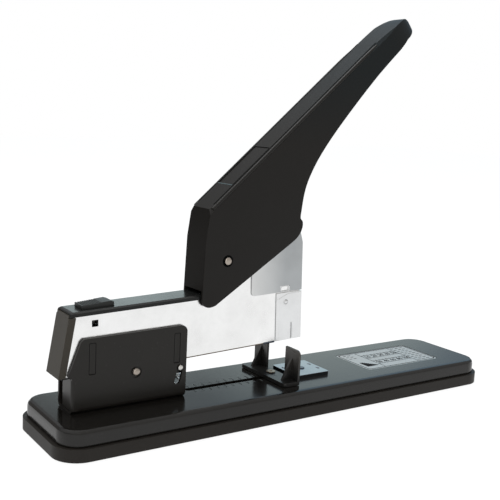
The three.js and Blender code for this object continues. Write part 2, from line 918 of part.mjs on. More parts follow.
const sideOutline = [
  [headRearLow, headBottom],
  [headFront, headBottom],
  [headFront, towerTop],
  [towerU, towerTop],
  [shoulderU, shoulderW],
  [shoulderU, headRearTop],
  [headRearHigh, headRearTop],
];
const lug = (centre, halfLength, low) =>
  profile(
    [
      [centre - halfLength, headBottom + headSheet],
      [centre - halfLength, headBottom],
      [centre - halfLength / 2, low],
      [centre + halfLength / 2, low],
      [centre + halfLength, headBottom],
      [centre + halfLength, headBottom + headSheet],
    ],
    -headOuterY,
    headOuterY,
  );
let frame = join(
  profile(sideOutline, -headOuterY, headOuterY),
  lug(0, lugHalf, lugLow),
  lug(stopU, stopLugHalf, stopLugLow),
);
frame = cut(
  frame,
  block(
    headRearLow - cutOver,
    headFront + cutOver,
    -headInnerY,
    headInnerY,
    headBottom + headSheet,
    towerTop + cutOver,
  ),
  block(
    webFront,
    headFront + cutOver,
    -headInnerY,
    headInnerY,
    headBottom - cutOver,
    headBottom + 2 * headSheet,
  ),
  block(-lugHalf - cutOver, headFront, -headInnerY, headInnerY, 2 * stopLugLow, headBottom),
  barY(0, 0, pivotPinRadius + seatGap, -headOuterY - cutOver, headOuterY + cutOver),
  barY(stopU, stopW, studRadius + seatGap, -headOuterY - cutOver, headOuterY + cutOver),
  barY(handlePinU, handlePinW, handlePinRadius + seatGap, -headOuterY - cutOver, headOuterY + cutOver),
  barY(noseRivetU, noseRivetW, wrapRivetRadius + seatGap, -headOuterY - cutOver, headOuterY + cutOver),
  barY(hoodRivetU, hoodRivetW, wrapRivetRadius + seatGap, -headOuterY - cutOver, headOuterY + cutOver),
  block(
    windowU - windowSide / 2,
    windowU + windowSide / 2,
    -headOuterY - cutOver,
    headOuterY + cutOver,
    windowW - windowSide / 2,
    windowW + windowSide / 2,
  ),
);
railRivetU.forEach((u) => {
  frame = frame.subtract(
    barZ(u, 0, railRivetRadius + seatGap, headBottom - cutOver, headBottom + headSheet + cutOver),
  );
});
add(head, 'head_frame', frame, steel);

[-1, 1].forEach((sy) => {
  const inner = headInnerY - seatGap;
  const outer = cheekOuterY + seatGap + pinHeadThick;
  const stud = join(
    barY(stopU, stopW, studRadius, inner - pinHeadThick, outer),
    barY(stopU, stopW, studRadius + pinHeadThick, inner - pinHeadThick, inner, smallSteps),
  );
  add(head, sy < 0 ? 'stop_stud_near' : 'stop_stud_far', sy < 0 ? stud.mirror([0, 1, 0]) : stud, warmSteel);
});

// Nose plate and hood plate: two sheets wrapped round the front of the head

const wrapInnerY = wrapOuterY - wrapSheet;
const wrapHollow = (low, high) =>
  block(-headFront, noseFront - wrapSheet, -wrapInnerY, wrapInnerY, low - cutOver, high + cutOver);
const noseSlit = block(
  slitU - slitWidth / 2,
  slitU + slitWidth / 2,
  -wrapOuterY - cutOver,
  wrapOuterY + cutOver,
  slitLow,
  slitTop,
);
const rivetHole = (u, w) =>
  barY(u, w, wrapRivetRadius + seatGap, -wrapOuterY - cutOver, wrapOuterY + cutOver);
const nose = cut(
  block(noseRear, noseFront, -wrapOuterY, wrapOuterY, headBottom, noseTop),
  wrapHollow(headBottom, noseTop),
  noseSlit,
  rivetHole(noseRivetU, noseRivetW),
);
add(head, 'nose_plate', nose, steel);

const hoodOutline = new THREE.Shape();
hoodOutline.moveTo(hoodRear + hoodCorner, hoodLow);
hoodOutline.lineTo(hoodNotchRear, hoodLow);
hoodOutline.lineTo(hoodNotchRear, hoodLow + hoodNotchHeight);
hoodOutline.lineTo(hoodNotchFront, hoodLow + hoodNotchHeight);
hoodOutline.lineTo(hoodNotchFront, hoodLow);
hoodOutline.lineTo(noseFront, hoodLow);
hoodOutline.lineTo(noseFront, hoodFrontTop);
hoodOutline.lineTo(hoodTopFront, hoodTop);
hoodOutline.lineTo(hoodTopRear, hoodTop);
hoodOutline.lineTo(hoodRear, towerTop);
hoodOutline.lineTo(hoodRear, hoodLow + hoodCorner);
hoodOutline.absarc(hoodRear + hoodCorner, hoodLow + hoodCorner, hoodCorner, 2 * quarter, 3 * quarter);
const hood = cut(
  profile(hoodOutline, -wrapOuterY, wrapOuterY),
  wrapHollow(hoodLow, hoodTop),
  rivetHole(hoodRivetU, hoodRivetW),
);
add(head, 'hood_plate', hood, greySteel);

const wrapRivets = [
  ['nose_rivet', noseRivetU, noseRivetW],
  ['hood_rivet', hoodRivetU, hoodRivetW],
];
wrapRivets.forEach(([name, u, w]) =>
  [-1, 1].forEach((sy) => {
    const rivet = barY(u, w, wrapRivetRadius, headInnerY, wrapOuterY);
    add(head, `${name}_${sy < 0 ? 'near' : 'far'}`, sy < 0 ? rivet.mirror([0, 1, 0]) : rivet, greySteel);
  }),
);

// Staple rail: an inverted channel that the staples ride on, riveted to the floor of the head

const railFoot = railLow + railSheet;
let rail = cut(
  block(railRear, railFront, -railHalfWidth, railHalfWidth, railLow, railTop),
  block(
    railRear - cutOver,
    railFront + cutOver,
    -railHalfWidth + railSheet,
    railHalfWidth - railSheet,
    railFoot,
    railTop - railSheet,
  ),
);
railRivetU.forEach((u) => {
  rail = rail.subtract(barZ(u, 0, railRivetRadius + seatGap, railLow - cutOver, railFoot + cutOver));
});
add(head, 'staple_rail', rail, greySteel);
railRivetU.forEach((u, i) => {
  const rivet = join(
    barZ(u, 0, railRivetRadius, headBottom - railRivetHeadThick, railFoot + railRivetHeadThick),
    barZ(u, 0, railRivetHead, headBottom - seatGap - railRivetHeadThick, headBottom - seatGap),
    barZ(u, 0, railRivetHead, railFoot + seatGap, railFoot + seatGap + railRivetHeadThick),
  );
  add(head, `rail_rivet_${i + 1}`, rivet, steel);
});

const crownLow = railTop + seatGap;
const staples = cut(
  block(stapleRear, stapleFront, -stapleHalfWidth, stapleHalfWidth, stapleLegLow, crownLow + stapleWire),
  block(
    stapleRear - cutOver,
    stapleFront + cutOver,
    -stapleHalfWidth + stapleWire,
    stapleHalfWidth - stapleWire,
    stapleLegLow - cutOver,
    crownLow,
  ),
);
add(head, 'staple_strip', staples, steel);

// Loader: cover, end cap and rod draw out to the rear together

const coverOuterY = wrapOuterY;
const coverRear = headRearHigh - capThick;
const coverSection = new THREE.Shape();
const coverInnerY = headOuterY + seatGap;
coverSection.moveTo(-coverOuterY, coverLow);
coverSection.lineTo(-coverInnerY, coverLow);
coverSection.lineTo(-coverInnerY, coverTop - coverThick);
coverSection.lineTo(coverInnerY, coverTop - coverThick);
coverSection.lineTo(coverInnerY, coverLow);
coverSection.lineTo(coverOuterY, coverLow);
coverSection.lineTo(coverOuterY, coverTop - coverEdge);
coverSection.lineTo(coverOuterY - coverEdge, coverTop);
coverSection.lineTo(-coverOuterY + coverEdge, coverTop);
coverSection.lineTo(-coverOuterY, coverTop - coverEdge);
const outsideCorner = new THREE.Shape();
outsideCorner.moveTo(coverRear - cutOver, coverTop + cutOver);
outsideCorner.lineTo(coverRear - cutOver, coverTop - coverCorner);
outsideCorner.lineTo(coverRear, coverTop - coverCorner);
outsideCorner.absarc(
  coverRear + coverCorner,
  coverTop - coverCorner,
  coverCorner,
  2 * quarter,
  quarter,
  true,
);
outsideCorner.lineTo(coverRear + coverCorner, coverTop + cutOver);
const cover = cut(
  along(coverSection, coverRear, coverFront),
  profile(outsideCorner, -coverOuterY - cutOver, coverOuterY + cutOver),
  block(
    buttonRear - seatGap,
    buttonFront + seatGap,
    -buttonHalfWidth - seatGap,
    buttonHalfWidth + seatGap,
    coverTop - coverThick - cutOver,
    coverTop + cutOver,
  ),
);
add(head, 'top_cover', cover, blackPaint);

const capSlope = (headRearHigh - headRearLow) / (headRearTop - headBottom);
const capAt = (w) => headRearLow + (w - headBottom) * capSlope - seatGap;
const capTop = coverTop - coverThick - seatGap;
const capSideTop = coverLow - seatGap;
// The cap's outline in u and w, from a height to a height, ahead of its rear edge line and behind it.
const capBand = (low, high, ahead, behind) => [
  [capAt(low) - behind, low],
  [capAt(low) + ahead, low],
  [capAt(high) + ahead, high],
  [capAt(high) - behind, high],
];
const cap = join(
  profile(capBand(capLow, capTop, 0, capThick), -headOuterY, headOuterY),
  cut(
    profile(capBand(capLow, capSideTop, capWrap, capThick), -coverOuterY, coverOuterY),
    profile(capBand(capLow - cutOver, capTop, 2 * capWrap, 0), -coverInnerY, coverInnerY),
  ),
);
add(head, 'rear_cap', cap, blackPlastic);

// A round bar along the head's u axis.
const barU = (u0, u1, w, radius, steps = smallSteps) =>
  toSolid(
    new THREE.CylinderGeometry(radius, radius, u1 - u0, steps)
      .rotateZ(quarter)
      .translate((u0 + u1) / 2, 0, w),
  );
const rodRear = capAt(rodW) + seatGap;
add(head, 'pusher_rod', barU(rodRear, pusherFront - seatGap, rodW, rodRadius), greySteel);

// Pusher: a saddle over the rail with a round tunnel that the rod and its spring pass through
const tunnel = pusherSpringRadius + pusherSpringWire / 2 + slideGap;
const pusher = cut(
  block(pusherRear, pusherFront, -pusherHalfWidth, pusherHalfWidth, pusherLow, pusherTop),
  block(
    pusherRear - cutOver,
    pusherFront + cutOver,
    -railHalfWidth - seatGap,
    railHalfWidth + seatGap,
    pusherLow - cutOver,
    railTop + seatGap,
  ),
  barU(pusherRear - cutOver, pusherFront + cutOver, rodW, tunnel, roundSteps),
);
add(head, 'pusher', pusher, blackPlastic);

const springRear = capAt(rodW) + slideGap;
const pusherSpring = coil(
  pusherSpringRadius,
  pusherSpringWire,
  pusherRear - springRear - seatGap,
  pusherSpringCurls,
)
  .rotateY(quarter)
  .translate(springRear, 0, rodW);
add(head, 'pusher_spring', pusherSpring, steel);

// Latch button: a ribbed press key that stands in the cover's opening

const buttonLow = coverTop - coverThick - seatGap - buttonFlangeThick;
let button = profile(
  [
    [buttonRear, buttonLow],
    [buttonFront, buttonLow],
    [buttonFront, buttonFrontTop],
    [buttonPeakU, buttonPeak],
    [buttonRear, buttonRearTop],
  ],
  -buttonHalfWidth,
  buttonHalfWidth,
);
button = join(
  button,
  block(
    buttonRear - buttonFlange,
    buttonFront + buttonFlange,
    -buttonHalfWidth - buttonFlange,
    buttonHalfWidth + buttonFlange,
    buttonLow,
    buttonLow + buttonFlangeThick,
  ),
);
for (let i = 0; i < buttonRibs; i++) {
  const u = buttonRear + (i + 1) * buttonRibPitch;
  const w = buttonRearTop + ((u - buttonRear) * (buttonPeak - buttonRearTop)) / (buttonPeakU - buttonRear);
  button = button.subtract(
    block(
      u - buttonRibPitch / 4,
      u + buttonRibPitch / 4,
      -buttonHalfWidth - cutOver,
      buttonHalfWidth + cutOver,
      w - buttonRibDepth,
      w + cutOver,
    ),
  );
}
const boreTop = buttonLow + latchBoreDepth;
button = button.subtract(barZ(latchU, 0, latchBore, buttonLow - cutOver, boreTop));
add(head, 'latch_button', button, blackPlastic);

const keeperTop = keeperLow + keeperThick;
const keeperHigh = coverTop - coverThick - seatGap;
const keeper = profile(
  [
    [keeperRear, keeperLow],
    [keeperFront, keeperLow],
    [keeperFront, keeperHigh],
    [keeperFront - keeperThick, keeperHigh],
    [keeperFront - keeperThick, keeperTop],
    [keeperRear + keeperThick, keeperTop],
    [keeperRear + keeperThick, keeperHigh],
    [keeperRear, keeperHigh],
  ],
  -keeperHalfWidth,
  keeperHalfWidth,
);
add(head, 'latch_keeper', keeper, greySteel);
const latchSpring = coil(
  latchSpringRadius,
  latchSpringWire,
  boreTop - keeperTop - 2 * seatGap,
  latchSpringCurls,
).translate(latchU, 0, keeperTop + seatGap);
add(head, 'latch_spring', latchSpring, steel);

// Ram and driver blade: they slide down inside the nose behind its front wall

const bladeRear = stapleFront + slideGap;
const bladeFront = bladeRear + bladeThick;
const ramFront = bladeRear - seatGap;
const tipAngle = radians(leverRise);
const tipU = ramSlotReach - leverTip - leverEndRoom;
const leverReach = (tipU - handlePinU) / Math.cos(tipAngle);
const tipW = handlePinW + leverReach * Math.sin(tipAngle);
const ramMouth = tipU + ramMouthLead;
const tipRoom = leverTip + slideGap;
const slotHalfWidth = leverThick / 2 + slideGap;
const mouth = profile(
  [
    [ramRear - cutOver, tipW - tipRoom - ramMouthFlare],
    [ramMouth, tipW - tipRoom],
    [ramMouth, tipW + tipRoom],
    [ramRear - cutOver, tipW + tipRoom + ramMouthFlare],
  ],
  -slotHalfWidth,
  slotHalfWidth,
);
const ram = cut(
  block(ramRear, ramFront, -ramHalfWidth, ramHalfWidth, ramLow, ramTop),
  block(ramRear - cutOver, ramSlotReach, -slotHalfWidth, slotHalfWidth, tipW - tipRoom, tipW + tipRoom),
  mouth,
  barU(bladeRivetRear - seatGap, ramFront + cutOver, bladeRivetW, bladeRivetRadius + seatGap),
);
add(head, 'ram', ram, greySteel);
const blade = cut(
  block(bladeRear, bladeFront, -bladeHalfWidth, bladeHalfWidth, bladeTip, bladeTop),
  barU(bladeRear - cutOver, bladeFront + cutOver, bladeRivetW, bladeRivetRadius + seatGap),
);
add(head, 'driver_blade', blade, steel);
add(head, 'blade_rivet', barU(bladeRivetRear, bladeFront, bladeRivetW, bladeRivetRadius), greySteel);

// Handle: a long inverted channel, placed in lengths from its pin

const lever = new THREE.Group();
lever.position.set(handlePinU, 0, handlePinW);
head.add(lever);

const topRun = gripTopStart[0] - handleRearTop[0];
const topRise = gripTopStart[1] - handleRearTop[1];
const topAngle = Math.atan2(topRise, topRun);
const acrossTop = ([x, z]) => z * Math.cos(topAngle) - x * Math.sin(topAngle);
const alongTop = ([x, z]) => x * Math.cos(topAngle) + z * Math.sin(topAngle);
const fromTop = (d, n) => [
  d * Math.cos(topAngle) - n * Math.sin(topAngle),
  d * Math.sin(topAngle) + n * Math.cos(topAngle),
];
const topDistance = acrossTop(gripTopStart);
const turned = (solid) => solid.rotate([0, -THREE.MathUtils.radToDeg(topAngle), 0]);

const handleOutline = new THREE.Shape();
handleOutline.moveTo(...handleRearTop);
handleOutline.lineTo(...handleRearMid);
handleOutline.lineTo(...handleRearLow);
handleOutline.quadraticCurveTo(...lobeCorner, ...lobeFront);
handleOutline.lineTo(...cheekFront);
handleOutline.quadraticCurveTo(...cheekCorner, ...neckLow);
handleOutline.quadraticCurveTo(...neckCorner, ...neckStep);
handleOutline.splineThru(vectors([neckMid, neckHigh, gripStart, gripMid, gripEnd]));
handleOutline.quadraticCurveTo(...gripTip, ...gripTop);
handleOutline.quadraticCurveTo(...gripCrown, ...gripTopStart);
const tipReach = Math.max(...handleOutline.getPoints().map(({ x, y }) => alongTop([x, y])));

const sectionDepth = 2 * tipReach;
const bevelSection = new THREE.Shape(
  [
    [-handleHalfWidth, -sectionDepth],
    [handleHalfWidth, -sectionDepth],
    [handleHalfWidth, topDistance - bevelDrop],
    [creaseHalfWidth, topDistance],
    [-creaseHalfWidth, topDistance],
    [-handleHalfWidth, topDistance - bevelDrop],
  ].map(([y, n]) => new THREE.Vector2(y, n)),
);
// Seen from above, the grip narrows to a round end at the given reach.
const gripPlan = (reach, half) => {
  const turn = reach - tipTaper;
  const shoulder = turn + tipFullShare * tipTaper;
  const s = new THREE.Shape();
  s.moveTo(-sectionDepth, -half);
  s.lineTo(turn, -half);
  s.bezierCurveTo(shoulder, -half, reach, -half * tipFullShare, reach, 0);
  s.bezierCurveTo(reach, half * tipFullShare, shoulder, half, turn, half);
  s.lineTo(-sectionDepth, half);
  return toSolid(
    new THREE.ExtrudeGeometry(s, {
      depth: sectionDepth + topDistance + cutOver,
      bevelEnabled: false,
      curveSegments: 2 * cornerSteps,
    }).translate(0, 0, -sectionDepth),
  );
};
const handleInnerY = handleHalfWidth - handleWall;
const innerEnd = tipReach - tipSolid;
const innerOutline = [
  [handleRearLow[0] + handleWall, -sectionDepth],
  [handleRearLow[0] + handleWall, handleRearLow[1]],
  [handleRearMid[0] + handleWall, handleRearMid[1]],
  [handleRearTop[0] + handleWall, handleRearTop[1] - handleWall],
  fromTop(alongTop(handleRearTop) + 2 * handleWall, topDistance - handleWall),
  fromTop(alongTop(gripTopStart), topDistance - handleWall),
  fromTop(innerEnd, topDistance - 2 * handleWall),
  fromTop(innerEnd, -sectionDepth),
];
const handleShell = cut(
  profile(handleOutline, -handleHalfWidth, handleHalfWidth)
    .intersect(turned(along(bevelSection, -sectionDepth, sectionDepth)))
    .intersect(turned(gripPlan(tipReach, handleHalfWidth))),
  profile(innerOutline, -handleInnerY, handleInnerY).intersect(
    turned(gripPlan(tipReach - 2 * handleWall, handleInnerY)),
  ),
  block(-sectionDepth, 0, -handleInnerY, handleInnerY, -sectionDepth, rearWallLow),
  barY(0, 0, handlePinRadius + seatGap, -handleHalfWidth - cutOver, handleHalfWidth + cutOver),
  ...ringAt(0, 0, handleHalfWidth),
  turned(
    block(
      panelStart,
      panelEnd,
      -panelHalfWidth,
      panelHalfWidth,
      topDistance - panelDepth,
      topDistance + cutOver,
    ),
  ),
);
add(lever, 'handle_shell', handleShell, blackPlastic);

const armTip = [leverReach * Math.cos(tipAngle), leverReach * Math.sin(tipAngle)];
const armRadiusAt = (angle, radius, [x, z]) => [x + radius * Math.cos(angle), z + radius * Math.sin(angle)];
const armOutline = [
  armRadiusAt(tipAngle + quarter, leverHub, [0, 0]),
  armRadiusAt(tipAngle - quarter, leverHub, [0, 0]),
  armRadiusAt(tipAngle - quarter, leverTip, armTip),
  armRadiusAt(tipAngle + quarter, leverTip, armTip),
];
const leverTop = topDistance - handleWall - seatGap;
const tailOutline = [
  [-leverHub / 2, 0],
  [leverHub / 2, 0],
  [leverTailRoot, leverTop - leverTailDepth],
  [leverTail, leverTop - leverTailDepth],
  [leverTail, leverTop],
  [leverTailRear, leverTop],
].map(([d, n]) => fromTop(d, n));
const driveLever = cut(
  join(
    barY(0, 0, leverHub, -leverThick / 2, leverThick / 2, roundSteps),
    barY(...armTip, leverTip, -leverThick / 2, leverThick / 2),
    profile(armOutline, -leverThick / 2, leverThick / 2),
    profile(tailOutline, -leverThick / 2, leverThick / 2),
  ),
  barY(0, 0, handlePinRadius + seatGap, -leverThick, leverThick),
);
add(lever, 'drive_lever', driveLever, greySteel);

const pinReach = handleHalfWidth + seatGap / 2;
add(lever, 'handle_pin', barY(0, 0, handlePinRadius, -pinReach, pinReach), warmSteel);

const returnRoom = headInnerY - leverThick / 2 - 2 * seatGap;
const returnSpring = coil(returnSpringRadius, returnSpringWire, returnRoom, returnSpringCurls)
  .rotateX(-quarter)
  .translate(0, leverThick / 2 + seatGap, 0);
add(lever, 'return_spring', returnSpring, steel);

export default stapler;
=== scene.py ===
# %% [markdown]
# # A heavy-duty stapler, dressed for its picture
# The solids of the stapler come ready made: every piece has its true size and sits in its place. This
# lesson gives them edges that catch the light, finishes that behave like enamel, moulded plastic and
# plated sheet, and the fine pieces that a solid model leaves plain. All lengths are in metres, +X points
# to the stapling end, +Z up, and the origin lies under the middle of the base.

# %% Load the solids
import json
import math

import bmesh
import bpy
import numpy as np
from mathutils import Matrix, Vector


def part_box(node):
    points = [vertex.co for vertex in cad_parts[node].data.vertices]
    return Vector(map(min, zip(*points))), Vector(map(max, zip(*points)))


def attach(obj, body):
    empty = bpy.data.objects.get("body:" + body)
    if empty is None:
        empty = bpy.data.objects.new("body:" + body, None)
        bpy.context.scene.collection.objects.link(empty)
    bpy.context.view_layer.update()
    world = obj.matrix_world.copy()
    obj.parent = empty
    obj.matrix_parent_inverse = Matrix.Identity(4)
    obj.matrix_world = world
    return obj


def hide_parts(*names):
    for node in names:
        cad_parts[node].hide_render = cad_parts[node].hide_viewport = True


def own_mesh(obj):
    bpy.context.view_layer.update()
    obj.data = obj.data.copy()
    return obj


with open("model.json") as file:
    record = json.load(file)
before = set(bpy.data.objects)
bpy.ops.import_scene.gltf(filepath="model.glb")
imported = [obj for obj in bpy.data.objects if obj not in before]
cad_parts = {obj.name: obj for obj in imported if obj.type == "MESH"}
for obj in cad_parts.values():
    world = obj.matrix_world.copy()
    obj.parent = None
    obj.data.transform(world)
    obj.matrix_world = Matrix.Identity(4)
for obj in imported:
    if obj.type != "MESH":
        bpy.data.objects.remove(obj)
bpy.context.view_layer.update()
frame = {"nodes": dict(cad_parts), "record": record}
MM = 0.001

# %% [markdown]
# ## The camera
# The picture was taken from the rear left, a little above the base, with the whole stapler in a square
# frame. A lens of 60 mm on a 36 mm sensor gives the same gentle perspective. The camera is aimed by its
# three own axes, which is exact and needs no target object.

# %% Camera
EYE = (-0.28445, -0.37678, 0.16423)
SENSOR, LENS = 36, 60.03
YAW, PITCH, ROLL = -0.6057, 0.1585, -0.0502
forward = Vector((-math.sin(YAW) * math.cos(PITCH), math.cos(YAW) * math.cos(PITCH), -math.sin(PITCH)))
level = Vector((math.cos(YAW), math.sin(YAW), 0))
below = forward.cross(level)
right = math.cos(ROLL) * level + math.sin(ROLL) * below
down = -math.sin(ROLL) * level + math.cos(ROLL) * below
camera = bpy.data.objects.new("camera", bpy.data.cameras.new("camera"))
camera.data.sensor_width = SENSOR
camera.data.lens = LENS
camera.data.clip_start = 0.01
axes = Matrix((right, -down, -forward)).transposed().to_4x4()
camera.matrix_world = Matrix.Translation(EYE) @ axes
bpy.context.scene.collection.objects.link(camera)
bpy.context.scene.camera = camera
print("camera looks along", [round(c, 3) for c in forward])

# %% [markdown]
# ## Small tools for building materials
# A finish is a handful of nodes round one shader. These helpers add a node, wire it up and return the
# socket that the next node wants, so that each finish below reads like a recipe.


# %% Node helpers
SOCKETS = {
    "colour": "Base Color",
    "metallic": "Metallic",
    "roughness": "Roughness",
    "shine": "Specular IOR Level",
    "tint": "Specular Tint",
    "normal": "Normal",
}


def blended(tree, share, a, b):
    """Colour a where share is 0 and b where it is 1."""
    node = tree.nodes.new("ShaderNodeMix")
    node.data_type = "RGBA"
    tree.links.new(share, node.inputs["Factor"])
    for socket, colour in ((node.inputs[6], a), (node.inputs[7], b)):
        if isinstance(colour, tuple):
            socket.default_value = (*colour, 1)
        else:
            tree.links.new(colour, socket)
    return node.outputs[2]


class Recipe:
    """One material with its shader, and short ways to add the nodes that feed it. It starts from the
    name of a new material, or from a finished material, to add to it."""

    def __init__(self, start):
        self.material = bpy.data.materials.new(start) if isinstance(start, str) else start
        self.material.use_nodes = True
        self.tree = self.material.node_tree
        self.shader = self.tree.nodes["Principled BSDF"]
        where = self.tree.nodes.new("ShaderNodeTexCoord")
        self.coords = where.outputs["Object"]
        self.outward = where.outputs["Normal"]

    def set(self, **values):
        """Give inputs of the shader a fixed value."""
        for key, value in values.items():
            self.shader.inputs[SOCKETS[key]].default_value = value
        return self

    def feed(self, **sockets):
        """Let inputs of the shader follow other nodes, and hand back the material."""
        for key, socket in sockets.items():
            self.tree.links.new(socket, self.shader.inputs[SOCKETS[key]])
        return self.material

    def stretched(self, scale, angle):
        """The object coordinates, scaled by three factors, after a turn about Y."""
        node = self.tree.nodes.new("ShaderNodeMapping")
        node.vector_type = "POINT"
        node.inputs["Scale"].default_value = scale
        node.inputs["Rotation"].default_value = (0, angle, 0)
        self.tree.links.new(self.coords, node.inputs["Vector"])
        return node.outputs["Vector"]

    def place(self, axis, low, high):
        """0 below low and 1 above high along one axis of the object (metres), even between."""
        node = self.tree.nodes.new("ShaderNodeSeparateXYZ")
        self.tree.links.new(self.coords, node.inputs[0])
        return self.spread(node.outputs[axis], low, high, 0.0, 1.0)

    def facing(self, axis, low, high, to_low, to_high):
        """As spread, of the share by which the surface faces along one axis of the object."""
        node = self.tree.nodes.new("ShaderNodeSeparateXYZ")
        self.tree.links.new(self.outward, node.inputs[0])
        return self.spread(node.outputs[axis], low, high, to_low, to_high)

    def noise(self, scale, detail, rough, vector=None):
        """Cloudy values about one half: scale says how fine, detail and rough how rich."""
        node = self.tree.nodes.new("ShaderNodeTexNoise")
        node.inputs["Scale"].default_value = scale
        node.inputs["Detail"].default_value = detail
        node.inputs["Roughness"].default_value = rough
        self.tree.links.new(vector or self.coords, node.inputs["Vector"])
        return node.outputs["Fac"]

    def spread(self, value, low, high, to_low, to_high):
        """value between low and high is carried to the range to_low and to_high, and held there."""
        node = self.tree.nodes.new("ShaderNodeMapRange")
        for name, number in zip(("From Min", "From Max", "To Min", "To Max"), (low, high, to_low, to_high)):
            node.inputs[name].default_value = number
        self.tree.links.new(value, node.inputs["Value"])
        return node.outputs["Result"]

    def blend(self, share, a, b):
        """Colour a where share is 0 and b where it is 1."""
        return blended(self.tree, share, a, b)

    def relief(self, height, strength, distance, under=None):
        """A bump from height, distance metres high, on the bump under if there is one."""
        node = self.tree.nodes.new("ShaderNodeBump")
        node.inputs["Strength"].default_value = strength
        node.inputs["Distance"].default_value = distance
        self.tree.links.new(height, node.inputs["Height"])
        if under is not None:
            self.tree.links.new(under, node.inputs["Normal"])
        return node.outputs["Normal"]


print("node helpers ready")

# %% [markdown]
# ## Enamel
# The base, the bracket and the magazine cover are sheet steel under black stove enamel. Sprayed enamel is
# never quite flat: it has a soft orange peel about a millimetre across, its gloss wanders a little where
# hands and cloths have been, and fine dust sits in it. Two noises give the peel and the gloss, and a
# third, cut off near its top, gives the specks.


# %% Enamel finish
WANDER, SPECKS, PEEL = 24, 1500, 520  # how fine the three noises are
DUST = (0.055, 0.055, 0.052)


def enamel(name, colour, gloss, peel, shine, flank=None):
    """Sprayed black. Where flank is given, it holds a lower shine for the flanks and the two heights
    between which it rises to that of the deck: the spray reaches the flanks more thinly."""
    r = Recipe(name).set(shine=shine)
    if flank is not None:
        r.feed(shine=r.spread(r.place("Z", *flank[1:]), 0.0, 1.0, flank[0], shine))
    wander = r.noise(WANDER, 4, 0.55)
    specks = r.spread(r.noise(SPECKS, 2, 0.6), 0.70, 0.76, 0.0, 1.0)
    tone = r.blend(r.spread(wander, 0.3, 0.7, 0.0, 1.0), colour, tuple(1.35 * c for c in colour))
    tone = r.blend(specks, tone, DUST)
    bumps = r.relief(r.noise(PEEL, 2, 0.4), peel, 0.0002)
    return r.feed(colour=tone, roughness=r.spread(wander, 0.3, 0.7, gloss, gloss + 0.07), normal=bumps)


shell_enamel = enamel("shell_enamel", (0.0066, 0.0060, 0.0052), 0.13, 0.08, 0.50, (0.38, 0.0142, 0.0154))
bracket_enamel = enamel("bracket_enamel", (0.0110, 0.0100, 0.0086), 0.27, 0.14, 0.26)
cover_enamel = enamel("cover_enamel", (0.0080, 0.0084, 0.0082), 0.20, 0.10, 0.90)
# The cover's flanks take less spray than its top, so they shine less.
r = Recipe(cover_enamel)
r.feed(shine=r.facing("Z", 0.5, 0.9, 0.22, 0.90))
print("enamels ready")

# %% [markdown]
# ## Moulded black
# The handle, the button, the slider and the end cap are moulded in black plastic from a spark-eroded
# mould, which leaves a fine grain of about a third of a millimetre. The grain is a bump, and where
# fingers rub it the plastic is a little shinier, so a broad noise drives the roughness.


# %% Moulded plastic finish
RUBBED, GRAIN, WAVES = 18, 2600, 60  # how fine the three noises are


def moulded(name, colour, rough, grain, shine=0.22, second=None, where=None):
    """Grained plastic. Where second is given, the colour runs from it to colour between two places along
    an axis, which where holds."""
    r = Recipe(name).set(shine=shine)
    rubbed = r.noise(RUBBED, 3, 0.6)
    fine = r.noise(GRAIN, 2, 0.7)
    tone = r.blend(r.spread(fine, 0.35, 0.65, 0.0, 1.0), colour, tuple(1.25 * c for c in colour))
    if second is not None:
        tone = r.blend(r.place(*where), second, tone)
    bumps = r.relief(fine, grain, 0.00012, r.relief(r.noise(WAVES, 2, 0.5), 0.05, 0.0006))
    return r.feed(colour=tone, roughness=r.spread(rubbed, 0.3, 0.7, rough, rough + 0.1), normal=bumps)


handle_black = moulded("handle_black", (0.0075, 0.0066, 0.0056), 0.38, 0.25)
# The rear wall of the handle hardly shines. Towards the grip the gloss of the plastic is tinted a little
# blue by height: a painted reflection colour.
r = Recipe(handle_black)
r.feed(shine=r.facing("X", -0.93, -0.75, 0.04, 0.22))
r.feed(tint=r.blend(r.place("Z", 0.150, 0.195), (1.0, 1.0, 1.0), (0.60, 0.86, 1.0)))
button_black = moulded("button_black", (0.0100, 0.0110, 0.0105), 0.34, 0.30, 0.38)
slider_black = moulded(
    "slider_black", (0.0420, 0.0375, 0.0325), 0.25, 0.18, 0.42,
    second=(0.009, 0.009, 0.0085), where=("Z", 0.020, 0.036),
)
cap_black = moulded("cap_black", (0.0370, 0.0325, 0.0255), 0.42, 0.30, 0.20)
tray_black = moulded("tray_black", (0.0125, 0.0105, 0.0085), 0.42, 0.30)
# Painted shade: a near-black finish for bars and rings laid where shade falls in grooves, creases and
# outlines.
painted_groove_shade = moulded("painted_groove_shade", (0.0016, 0.0016, 0.0016), 0.60, 0.05, 0.04)
rubber_black = moulded("rubber_black", (0.0180, 0.0180, 0.0180), 0.75, 0.60)
print("moulded finishes ready")

# %% [markdown]
# ## Sheet steel and plate
# The head is bright plated sheet. It mirrors the white studio, so it looks nearly white, yet its rolling
# lines and faint smears keep it from looking like paper. The lines are a noise pressed flat along the
# length of the head: the coordinates are scaled up across the lines and hardly at all along them. Three
# finishes have light or shade painted along an axis: the channel is painted near black low at its rear
# edge, as shade and partly its raw edge, the hood is painted brighter towards its rear, a painted
# reflection, and the anvil's flank is painted dark as shade.


# %% Metal finishes
ROLLING = (40, 900, 2600)
SMEARS, DENTS = 55, 35


def plated(name, colour, rough, lines, smear=0.08, angle=0.0, second=None, where=None):
    """Bright sheet. Where second is given, the colour runs from it to colour along an axis: where holds
    the axis and the two places between which it changes."""
    r = Recipe(name).set(metallic=1.0, shine=0.5)
    rolled = r.noise(1.0, 2, 0.5, r.stretched(ROLLING, angle))
    smears = r.noise(SMEARS, 4, 0.6)
    tone = r.blend(r.spread(smears, 0.35, 0.7, 0.0, 1.0), colour, tuple(0.93 * c for c in colour))
    if second is not None:
        tone = r.blend(r.place(*where), second, tone)
    bumps = r.relief(rolled, lines, 0.00005, r.relief(r.noise(DENTS, 2, 0.5), 0.06, 0.0006))
    return r.feed(colour=tone, roughness=r.spread(smears, 0.3, 0.7, rough, rough + smear), normal=bumps)


